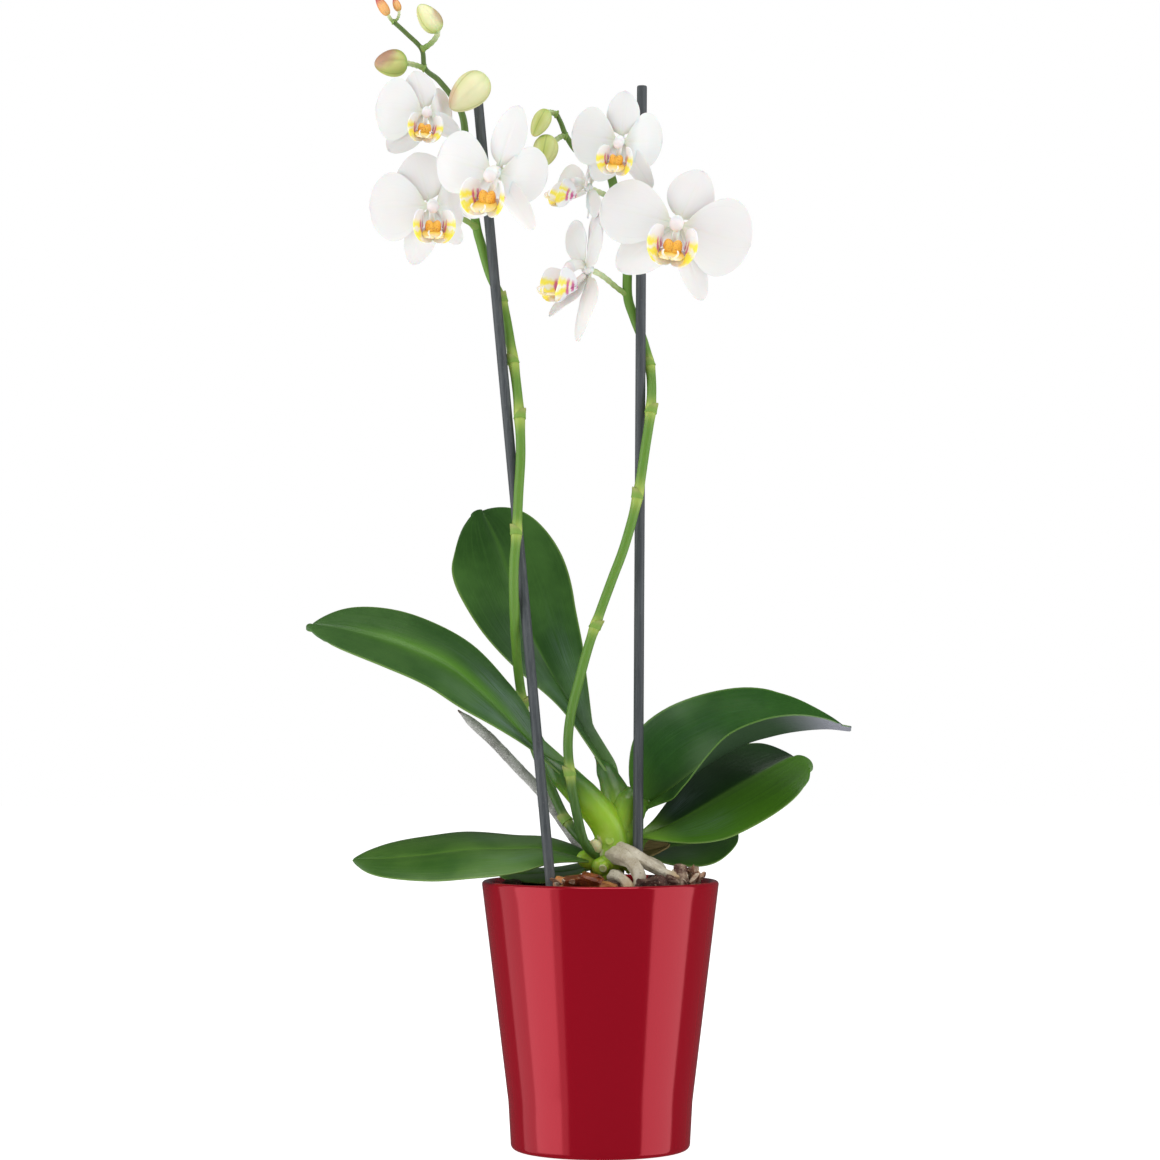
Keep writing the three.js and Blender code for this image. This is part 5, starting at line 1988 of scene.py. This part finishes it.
@dataclass(frozen=True)
class Bloom:
    """One open flower: its middle, its turn, nod and roll, its size and how it opens.

    The spread gives the clock angle, sweep back, length and half width of the top sepal, the right and
    left sepal and the right and left petal.
    """

    name: str
    start: Point
    middle: Point
    turn: float
    nod: float
    roll: float
    size: float
    spread: Sequence[tuple[float, float, float, float]]

    def matrix(self) -> Matrix:
        """From the flower's own axes, x to the right, y up and z out of its face, to the plant's.

        Returns:
            The change of axes.
        """
        turn = Matrix.Rotation(math.radians(self.turn), 4, "Z")
        nod = Matrix.Rotation(math.radians(90 + self.nod), 4, "X")
        roll = Matrix.Rotation(math.radians(-self.roll), 4, "Z")
        return Matrix.Translation(self.middle) @ turn @ nod @ roll @ Matrix.Scale(self.size, 4)

    def stalk(self) -> Stalk:
        """The flower's stalk, which arrives along its back.

        Returns:
            The stalk.
        """
        way = self.matrix().to_3x3() @ Vector((0, 0, 1))
        reach = (Vector(self.middle) - Vector(self.start)).length
        return Stalk(self.start, self.middle, way, 0.42 * reach, (1.5, 1.7))

    def tepal(self, angle: float, sweep: float, form: dict[str, float]) -> BladeForm:
        """One tepal's form in the flower's own axes.

        Args:
            angle: its clock angle in degrees.
            sweep: how far it is swept back, in degrees.
            form: its length, depth and bow, with the values of a blade.

        Returns:
            The form.
        """
        out = Vector((math.sin(math.radians(angle)), math.cos(math.radians(angle)), 0))
        length, depth, bow = form["length"], form["depth"], form["bow"]
        tilt = math.radians(sweep)
        keel = []
        for t in (0.04, 0.35, 0.68, 1.0):
            far, share = length * t, min(1.0, t * 1.6)
            rise = depth + bow * math.sin(math.pi * min(1.0, t * 0.9)) - far * math.sin(tilt) * share
            keel.append(out * (far * lerp(1.0, math.cos(tilt), share)) + Vector((0, 0, rise)))
        face = Vector((0, 0, 1))
        shape = {key: value for key, value in form.items() if key not in ("length", "depth", "bow")}
        return BladeForm(keel, [face, face + out * math.sin(tilt)], **shape, wave=0.9, waves=2.4)

    def tepals(self) -> list[BladeForm]:
        """The three sepals and, before them, the two broad petals.

        Returns:
            The five forms.
        """
        sepal = {"root": 2.0, "start": 0.09, "skew": 0.9, "blunt": 0.66, "depth": -2.2}
        sepal |= {"bow": 1.5, "tip": 1.8, "arch": 0.12}
        petal = {"root": 1.8, "start": 0.08, "skew": 1.25, "blunt": 0.58, "depth": 1.2}
        petal |= {"bow": 2.5, "tip": 3.0, "arch": 0.05}
        forms = []
        for k, (angle, sweep, length, width) in enumerate(self.spread):
            size = {"length": length, "width": width}
            forms.append(self.tepal(angle, sweep, (sepal if k < 3 else petal) | size))
        return forms

    def build(self, finishes: dict[BloomPart, Material]) -> None:
        """Makes the flower's petals, its lip in two pieces and its column.

        Args:
            finishes: the finish of each piece.
        """
        forms = {part: new_mesh() for part in BloomPart}
        seed = sum(map(ord, self.name))
        for k, form in enumerate(self.tepals()):
            self.add_tepal(forms[BloomPart.PETALS], form, seed + 7.0 * k)
        add_rod(forms[BloomPart.PETALS], [(0, 0, -4), (0, 0, 0), (0, 0.3, 3)], (2.4, 3.6, 2.4), 20)
        self.add_wings(forms[BloomPart.WINGS])
        self.add_heart(forms[BloomPart.HEART])
        self.add_column(forms[BloomPart.PILLAR])
        for part, bm in forms.items():
            word, node, slot = part.value
            nodes = [f"bloom_{self.name}_{node}"]
            bmesh.ops.transform(bm, matrix=self.matrix(), verts=bm.verts[:])
            finish_piece(bm, f"{self.name}_{word}", finishes[part], nodes, slot, 70)

    def add_tepal(self, bm: Form, form: BladeForm, seed: float) -> None:
        """Adds one tepal: thin, with a soft rib, a thin rolled margin and slight puckers.

        Args:
            bm: the mesh to add to.
            form: its form.
            seed: where in the noise it lies.
        """

        def middle(t: float, u: float) -> Vector:
            spot = form.point(t, u)
            rib = -0.45 * bell(u, 0.0, 0.08) * (1 - t)
            pucker = 0.35 * grain(spot, 11.0, seed) + 0.5 * grain(spot, 26.0, seed)
            curl = 1.1 * abs(u) ** 5 * grain(Vector((t * 30, u * 8, 0)), 9.0, seed)
            return spot + Vector((0, 0, rib + (pucker + curl) * smoothstep(t, 0.05, 0.3)))

        shell(bm, 28, 34, middle, lambda t, u: 0.42 * (1 - 0.5 * abs(u) ** 5), tip_rows)

    def add_wings(self, bm: Form) -> None:
        """Adds the lip's two side lobes, which stand up round the column.

        Args:
            bm: the mesh to add to.
        """
        keel = ((0.8, -13, 9.2), (4.5, -18.5, 12), (8, -16.5, 15.5), (9, -9, 16), (7, -3, 15))
        for side in (1, -1):
            form = BladeForm(
                [(x * side, y, z) for x, y, z in keel],
                [(-0.35 * side, 0.85, 0.35), (-0.9 * side, -0.1, 0.35)],
                6.8,
                start=0.08, root=1.4, tip=2.6, skew=1.05, blunt=0.6, arch=0.1,
            )

            def middle(t: float, u: float, form: BladeForm = form) -> Vector:
                spot = form.point(t, u)
                return spot + Vector((0, 0.2, 0.5)) * grain(spot, 5.0) * smoothstep(t, 0.1, 0.5)

            def tone(t: float, u: float, way: int, side: int = side) -> float:
                return 0.5 + 0.5 * u * side

            shell(bm, 22, 26, middle, lambda t, u: 0.42, tip_rows, tone)

    def add_heart(self, bm: Form) -> None:
        """Adds the claw, the callus, the middle lobe and its two tendrils.

        Args:
            bm: the mesh to add to.
        """
        tendril = [(0.6, -20.4, 25), (2.2, -20.4, 27.2), (3.4, -19.2, 28.6)]
        tendril += [(4.2, -17.6, 28.9), (3.6, -16, 28.2)]
        add_rod(bm, [(0, -3.8, 0.8), (0, -8, 4.6), (0, -12.5, 9)], (1.9, 1.9, 1.9), 18, 1.0, 0.7)
        for side in (1, -1):
            add_knob(bm, (0.5 * side, -18.6, 13.4), (3.3 * side, -9.4, 14.2), 3.3, 18, 14, 0.0)
        form = BladeForm(
            [(0, -12.6, 9.4), (0, -16, 14), (0, -19, 20), (0, -20.5, 26)],
            [(0, 1, 0.4), (0, 1, 0.25)],
            5.6,
            start=0.08, root=1.4, tip=1.2, skew=0.9, blunt=1.0, arch=0.15,
        )
        shell(bm, 20, 26, form.point, lambda t, u: 0.55, tip_rows, lambda t, u, way: 0.2 + 0.6 * t)
        for side in (1, -1):
            line = [(x * side, y, z) for x, y, z in tendril]
            add_rod(bm, line, (0.9, 0.75, 0.65, 0.55, 0.45), 12, 0.6, 0.9)

    def add_column(self, bm: Form) -> None:
        """Adds the column with the cap over its end."""
        add_rod(bm, [(0, 1.4, 2), (0, 1.6, 6), (0, 0.2, 10), (0, -1.4, 12)], (2.2, 2.9, 3.8, 3.4), 24)
        add_knob(bm, (0, 2.2, 9.4), (0, -4.6, 14), 3.9, 24, 18, 1.0)


def add_rod(
    bm: Form,
    points: Sequence[Point],
    radii: Sequence[float],
    sides: int,
    low: float = 0.0,
    high: float | None = None,
) -> None:
    """Adds a rod with rounded ends.

    Args:
        bm: the mesh to add to.
        points: the points of its line.
        radii: its radius at each of these.
        sides: its sides.
        low: its tone at its first end.
        high: its tone at the other end, where that differs.
    """

    def radius(t: float, turn: float) -> float:
        return read_at(radii, t) * (0.25 + 0.75 * round_end(abs(2 * t - 1), 0.86))

    def tone(t: float) -> float:
        return lerp(low, low if high is None else high, t)

    tube(bm, Line(points), radius, sides, 10 * (len(radii) - 1), tone)


# Buds


@dataclass(frozen=True)
class Bud:
    """One closed bud: where its stalk starts, its foot, its tip, its radius and its colours."""

    side: str
    number: int
    start: Point
    foot: Point
    tip: Point
    radius: float
    finish: BudFinish
    slot: str = "bud"
    way: Point | None = None

    def stalk(self) -> Stalk:
        """The bud's stalk, up to just inside its foot.

        Returns:
            The stalk.
        """
        axis = (Vector(self.tip) - Vector(self.foot)).normalized()
        end = Vector(self.foot) + axis * (self.radius * 0.6)
        far = (Vector(self.foot) - Vector(self.start)).length
        radius = min(1.6, 0.38 * self.radius)
        return Stalk(self.start, end, self.way or axis, 0.45 * far, (radius, radius * 0.95))

    def build(self) -> None:
        """Makes the bud: an egg of three sepals, with a seam between each two."""
        bm = new_mesh()

        def radius(t: float, turn: float) -> float:
            egg = math.sqrt(max(0.0, 1 - (2 * t - 1) ** 2)) * (1 - 0.25 * (2 * t - 1) * 0.9)
            wave = abs(math.sin(math.pi * 3 * turn))
            seam = 1 - 0.07 * (1 - smoothstep(wave, 0.0, 0.3)) + 0.03 * wave
            return self.radius * egg * seam + 0.01

        egg_form(bm, Vector(self.foot), Vector(self.tip), radius, 72, 40)
        nodes = [f"bud_{self.side}_{self.number}"]
        finish_piece(bm, f"{self.side}_bud_{self.number}", self.finish.build(), nodes, self.slot, 70)


# The plant's blooms, buds and spikes


def make_blooms() -> dict[str, list[Bloom]]:
    """The open flowers of each spike.

    Returns:
        The blooms, by their side.
    """
    left_1 = [(-24, 4, 33, 10.5), (114, 8, 31, 6), (-144, 6, 41, 10.5), (74, 52, 34, 16), (-92, 8, 39, 21.5)]
    left_2 = [(-18, 4, 35, 16), (138, 30, 36, 6), (-163, 4, 39.5, 8.5), (84, 50, 36, 17), (-93, 8, 40, 19.5)]
    left_3 = [(14, 4, 40.5, 8.5), (143, 4, 39.5, 5), (-146, 4, 34, 10), (98, 50, 36, 15), (-81, 0, 36.5, 16)]
    right_1 = [(-2, 4, 36.5, 10.5), (142, 4, 42, 6), (-150, 4, 36.5, 10), (88, 44, 38, 18.5)]
    right_1 += [(-88, 12, 39, 19)]
    right_2 = [(16, 4, 32, 11), (153, 4, 43, 5.5), (-135, 4, 40.5, 10.5), (98, 4, 41, 19), (-84, 4, 43, 15)]
    right_3 = [(2, -22, 30, 8), (150, 24, 27, 8), (-150, 24, 24, 8), (64, -16, 27, 10), (-78, -34, 30, 10)]
    right_4 = [(6, -5, 36, 9), (158, -8, 50, 11), (-158, -24, 38, 5), (52, -8, 36, 9), (-36, -8, 34, 9)]
    return {
        "left": [
            Bloom("left_1", (-77.2, 8, 572), (-99, -24, 588), 6, 6, 8, 0.74, left_1),
            Bloom("left_2", (-71.2, 9, 527), (-95.6, -31, 533.8), 8, 8, 0, 0.88, left_2),
            Bloom("left_3", (-74.6, 8, 548), (-58, -62, 547.8), -18, 14, 9, 0.95, left_3),
        ],
        "right": [
            Bloom("right_1", (6.4, 10, 557), (11.5, -34, 570.3), -10, 14, 8, 0.76, right_1),
            Bloom("right_2", (15.7, 6, 511), (43.2, -41, 521.8), -4, 4, 9, 1.04, right_2),
            Bloom("right_3", (9.4, 7, 543), (-7, -4, 548.5), -74, -22, 0, 0.74, right_3),
            Bloom("right_4", (16, 6, 488), (-7.5, -4, 501.5), -64, -8, 6, 0.93, right_4),
        ],
    }


def make_buds() -> dict[str, list[Bud]]:
    """The closed buds of each spike, each with its own colours.

    Returns:
        The buds, by their side.
    """
    cream = BudFinish(
        "cream_bud", srgb(214, 214, 160), srgb(232, 228, 186), srgb(178, 176, 112), srgb(206, 150, 138),
        blush_share=0.5, spot=(-87, -19, 598.5), reach=8.5, green=srgb(190, 208, 128),
    )
    olive = BudFinish(
        "olive_bud", srgb(166, 176, 92), srgb(204, 204, 128), srgb(128, 138, 62), srgb(170, 122, 106),
        blush_share=0.85, spot=(-128, -5, 628), reach=12,
    )
    green = BudFinish(
        "green_bud", srgb(206, 210, 140), srgb(232, 230, 186), srgb(158, 166, 90), srgb(158, 108, 104),
        blush_share=0.55, spot=(-91, -1, 650), reach=6.5,
    )
    coral = BudFinish(
        "coral_bud", srgb(222, 158, 88), srgb(234, 184, 120), srgb(176, 112, 60), srgb(178, 64, 84),
        blush_from=0.5, blush_share=0.85, green=srgb(190, 150, 76),
    )
    moss = BudFinish(
        "moss_bud", srgb(188, 198, 108), srgb(214, 218, 150), srgb(146, 160, 76), srgb(196, 164, 124),
        blush_share=0.4, green=srgb(174, 194, 96),
    )
    return {
        "left": [
            Bud(
                "left", 1, (-83.5, 6, 600), (-65.5, -12, 611), (-85, -20, 591), 9.4, cream,
                way=(0.6, -0.8, 0.1),
            ),
            Bud("left", 2, (-101, 5, 619), (-111, 2, 622), (-130, 0, 620.5), 7.6, olive),
            Bud("left", 3, (-103, 4, 630), (-93, 3, 640), (-104.5, 0, 655), 6.2, green, way=(-0.75, 0, 0.66)),
            Bud("left", 4, (-119, 2, 645.5), (-122, 1, 649), (-129, -1, 660), 2.8, coral, "bud_tip"),
            Bud("left", 5, (-119, 2, 645.5), (-116, 3.5, 652), (-119, 5, 660), 2.2, coral, "bud_tip"),
        ],
        "right": [
            Bud("right", 1, (-25, 8.4, 593), (-30.5, 6, 595), (-38.5, 0, 579), 5, moss),
            Bud(
                "right", 2, (-19.5, 12.5, 581), (-30, 10, 580), (-33.5, 0, 562), 7, moss,
                way=(-0.9, -0.2, 0.1),
            ),
        ],
    }


def make_spikes(blooms: dict[str, list[Bloom]], buds: dict[str, list[Bud]]) -> list[Spike]:
    """The two flower spikes with all their stalks.

    Args:
        blooms: the blooms of each spike.
        buds: the buds of each spike.

    Returns:
        The left and the right spike.
    """
    left = [(-2, 1, 167), (-14.5, 6, 179), (-22, 12, 190.5), (-30, 16, 208), (-37.5, 18, 226), (-43, 16, 244)]
    left += [(-46.4, 7, 266), (-48, -5, 284), (-48.8, -17, 303), (-49, -22.5, 328), (-47.5, -19.5, 350)]
    left += [(-46.5, -15, 372), (-45.4, -10.5, 397), (-47, -3.5, 426), (-51, 4, 456), (-56.2, 10.5, 483)]
    left += [(-63.7, 13, 501), (-68.8, 11, 518), (-71.2, 9, 527), (-74.6, 8, 548), (-77.2, 8, 572)]
    left += [(-79, 7, 590), (-83.5, 6, 600), (-93, 5, 612), (-101, 5, 619), (-103, 4, 630)]
    left += [(-111.4, 3, 638.7), (-119, 2, 645.5)]
    right = [(-2, -7, 166), (-9, -15, 174), (-13.3, -19, 190), (-16.7, -21.5, 209), (-18.4, -22, 229)]
    right += [(-16.7, -21, 247), (-12, -19, 266), (-6.5, -17, 286), (0, -15.5, 305), (6.6, -14.5, 323)]
    right += [(14, -13.2, 343), (20.9, -12.2, 369), (25.6, -9.5, 398), (28.9, -5.4, 421), (29.1, 2.6, 442)]
    right += [(25.2, 7.4, 460), (19.6, 7, 475), (15.8, 6, 488), (15.7, 6, 511), (12.5, 6, 529), (9.4, 7, 543)]
    right += [(6.4, 10, 557), (1.7, 14, 567), (-5.8, 16, 571.4), (-13.3, 16, 573), (-19.5, 12.5, 581)]
    right += [(-22.5, 10, 588), (-25, 8.4, 593)]
    lines = {"left": left, "right": right}
    joints = {"left": (0.06, 0.2, 0.37, 0.47, 0.51, 0.56), "right": (0.12, 0.28, 0.41, 0.48, 0.53)}
    narrows = {"left": (0.6, 0.95), "right": (0.72, 1.0)}
    return [
        Spike(
            side,
            lines[side],
            joints[side],
            narrows[side],
            [part.stalk() for part in (*blooms[side], *buds[side])],
        )
        for side in ("left", "right")
    ]


# Studio


@dataclass(frozen=True)
class Lamp:
    """One soft studio lamp: where it hangs, what it faces, its size in metres and its power in watts."""

    name: str
    spot: Point
    target: Point
    size: tuple[float, float]
    power: float

    def build(self) -> None:
        """Hangs the lamp."""
        light = bpy.data.lights.new(self.name, "AREA")
        light.shape = "RECTANGLE"
        light.size, light.size_y = self.size
        light.energy = self.power
        lamp = bpy.data.objects.new(self.name, light)
        lamp.location = self.spot
        aim = Vector(self.target) - Vector(self.spot)
        lamp.rotation_euler = aim.to_track_quat("-Z", "Y").to_euler()
        bpy.context.scene.collection.objects.link(lamp)


@dataclass
class Studio:
    """The pale floor, the white surround, the lamps and the camera."""

    shot: tuple[float, float, float] = (-0.0116, -1.830, 0.253)
    pitch: float = 92.2
    lens: float = 99.31
    sensor: float = 36.0
    sky: Colour = (0.96, 0.98, 1.0, 1.0)
    white: Colour = (1.0, 1.0, 1.0, 1.0)
    soft_glow: float = 0.42
    mirrored_glow: float = 0.1
    floor_half: float = 6.0
    floor_drop: float = 0.0006
    lamps: tuple[Lamp, ...] = (
        Lamp("left_wide", (-1.27, -0.29, 0.3), (0, 0, 0.2), (2.0, 2.1), 8.5),
        Lamp("left_core", (-1.08, -0.42, 0.4), (0, 0, 0.2), (0.9, 1.7), 4.5),
        Lamp("right_strip", (1.067, -0.266, 0.3), (0, 0, 0.2), (1.0, 2.1), 8.5),
        Lamp("top_box", (0.1, -0.5, 1.75), (0, 0, 0.35), (1.3, 1.0), 11.0),
    )

    def build(self) -> None:
        """Sets everything up, with plain colours so that white stays white."""
        bpy.context.scene.view_settings.view_transform = "Standard"
        self.floor()
        self.surround()
        for lamp in self.lamps:
            lamp.build()
        self.camera()

    def floor(self) -> None:
        """Lays the floor."""
        bm = new_mesh()
        bmesh.ops.create_grid(bm, x_segments=1, y_segments=1, size=self.floor_half)
        mesh = bpy.data.meshes.new("floor")
        bm.to_mesh(mesh)
        bm.free()
        mesh.materials.append(FloorFinish().build())
        floor = bpy.data.objects.new("floor", mesh)
        floor.location = (0, 0, -self.floor_drop)
        floor.visible_glossy = False
        bpy.context.scene.collection.objects.link(floor)
        floor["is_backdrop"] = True

    def surround(self) -> None:
        """Makes the world: pure white to the camera, soft grey light on the plant, dark in reflections."""
        world = bpy.data.worlds.new("white_surround")
        bpy.context.scene.world = world
        tree = NodeTree(world)
        rays = tree.node("ShaderNodeLightPath").outputs
        glows = ((self.sky, self.soft_glow), (self.sky, self.mirrored_glow), (self.white, 1.0))
        soft, dim, white = (
            tree.node("ShaderNodeBackground", None, {"Color": colour, "Strength": strength}).outputs[0]
            for colour, strength in glows
        )
        lit = tree.node("ShaderNodeMixShader", None, {0: rays["Is Glossy Ray"], 1: soft, 2: dim}).outputs[0]
        seen = tree.node("ShaderNodeMixShader", None, {0: rays["Is Camera Ray"], 1: lit, 2: white}).outputs[0]
        tree.node("ShaderNodeOutputWorld", None, {0: seen})

    def camera(self) -> None:
        """Sets the camera as the photograph's was."""
        data = bpy.data.cameras.new("camera")
        data.lens = self.lens
        data.sensor_width = self.sensor
        camera = bpy.data.objects.new("camera", data)
        camera.location = self.shot
        camera.rotation_euler = (math.radians(self.pitch), 0, 0)
        bpy.context.scene.collection.objects.link(camera)
        bpy.context.scene.camera = camera


# The whole plant


@dataclass
class Orchid:
    """The potted orchid, part by part."""

    def build(self) -> None:
        """Builds every part."""
        for part in (CoverPot(), GrowPot(), BarkBed(), Crown(), Roots(), DrySheath()):
            part.build()
        stick = StickFinish().build()
        SupportStick("left_stick", "stick_left", (-27.9, -30, 150), (-71.6, 14, 611)).build(stick)
        SupportStick("right_stick", "stick_right", (21.2, -10, 160), (24.2, 6, 609)).build(stick)
        for leaf in make_leaves():
            leaf.build()
        blooms, buds = make_blooms(), make_buds()
        skin, scale = StemFinish().build(), BractFinish().build()
        for spike in make_spikes(blooms, buds):
            spike.build(skin, scale)
        finishes = {
            BloomPart.PETALS: PetalFinish().build(),
            BloomPart.WINGS: WingFinish().build(),
            BloomPart.HEART: HeartFinish().build(),
            BloomPart.PILLAR: ColumnFinish().build(),
        }
        for side in ("left", "right"):
            for bloom in blooms[side]:
                bloom.build(finishes)
            for bud in buds[side]:
                bud.build()


def keep_sizes() -> None:
    """Works out the solids' box and the finished model's box, in metres, as plain lists that nothing uses."""
    boxes = {"cad": CAD_BOX, "visual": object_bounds()}
    plain = {name: [list(map(float, corner)) for corner in box] for name, box in boxes.items()}


def main() -> None:
    """Builds the orchid and its studio."""
    logging.basicConfig(level=logging.INFO, format="%(name)s: %(message)s")
    Orchid().build()
    Studio().build()
    keep_sizes()


if __name__ == "__main__":
    main()
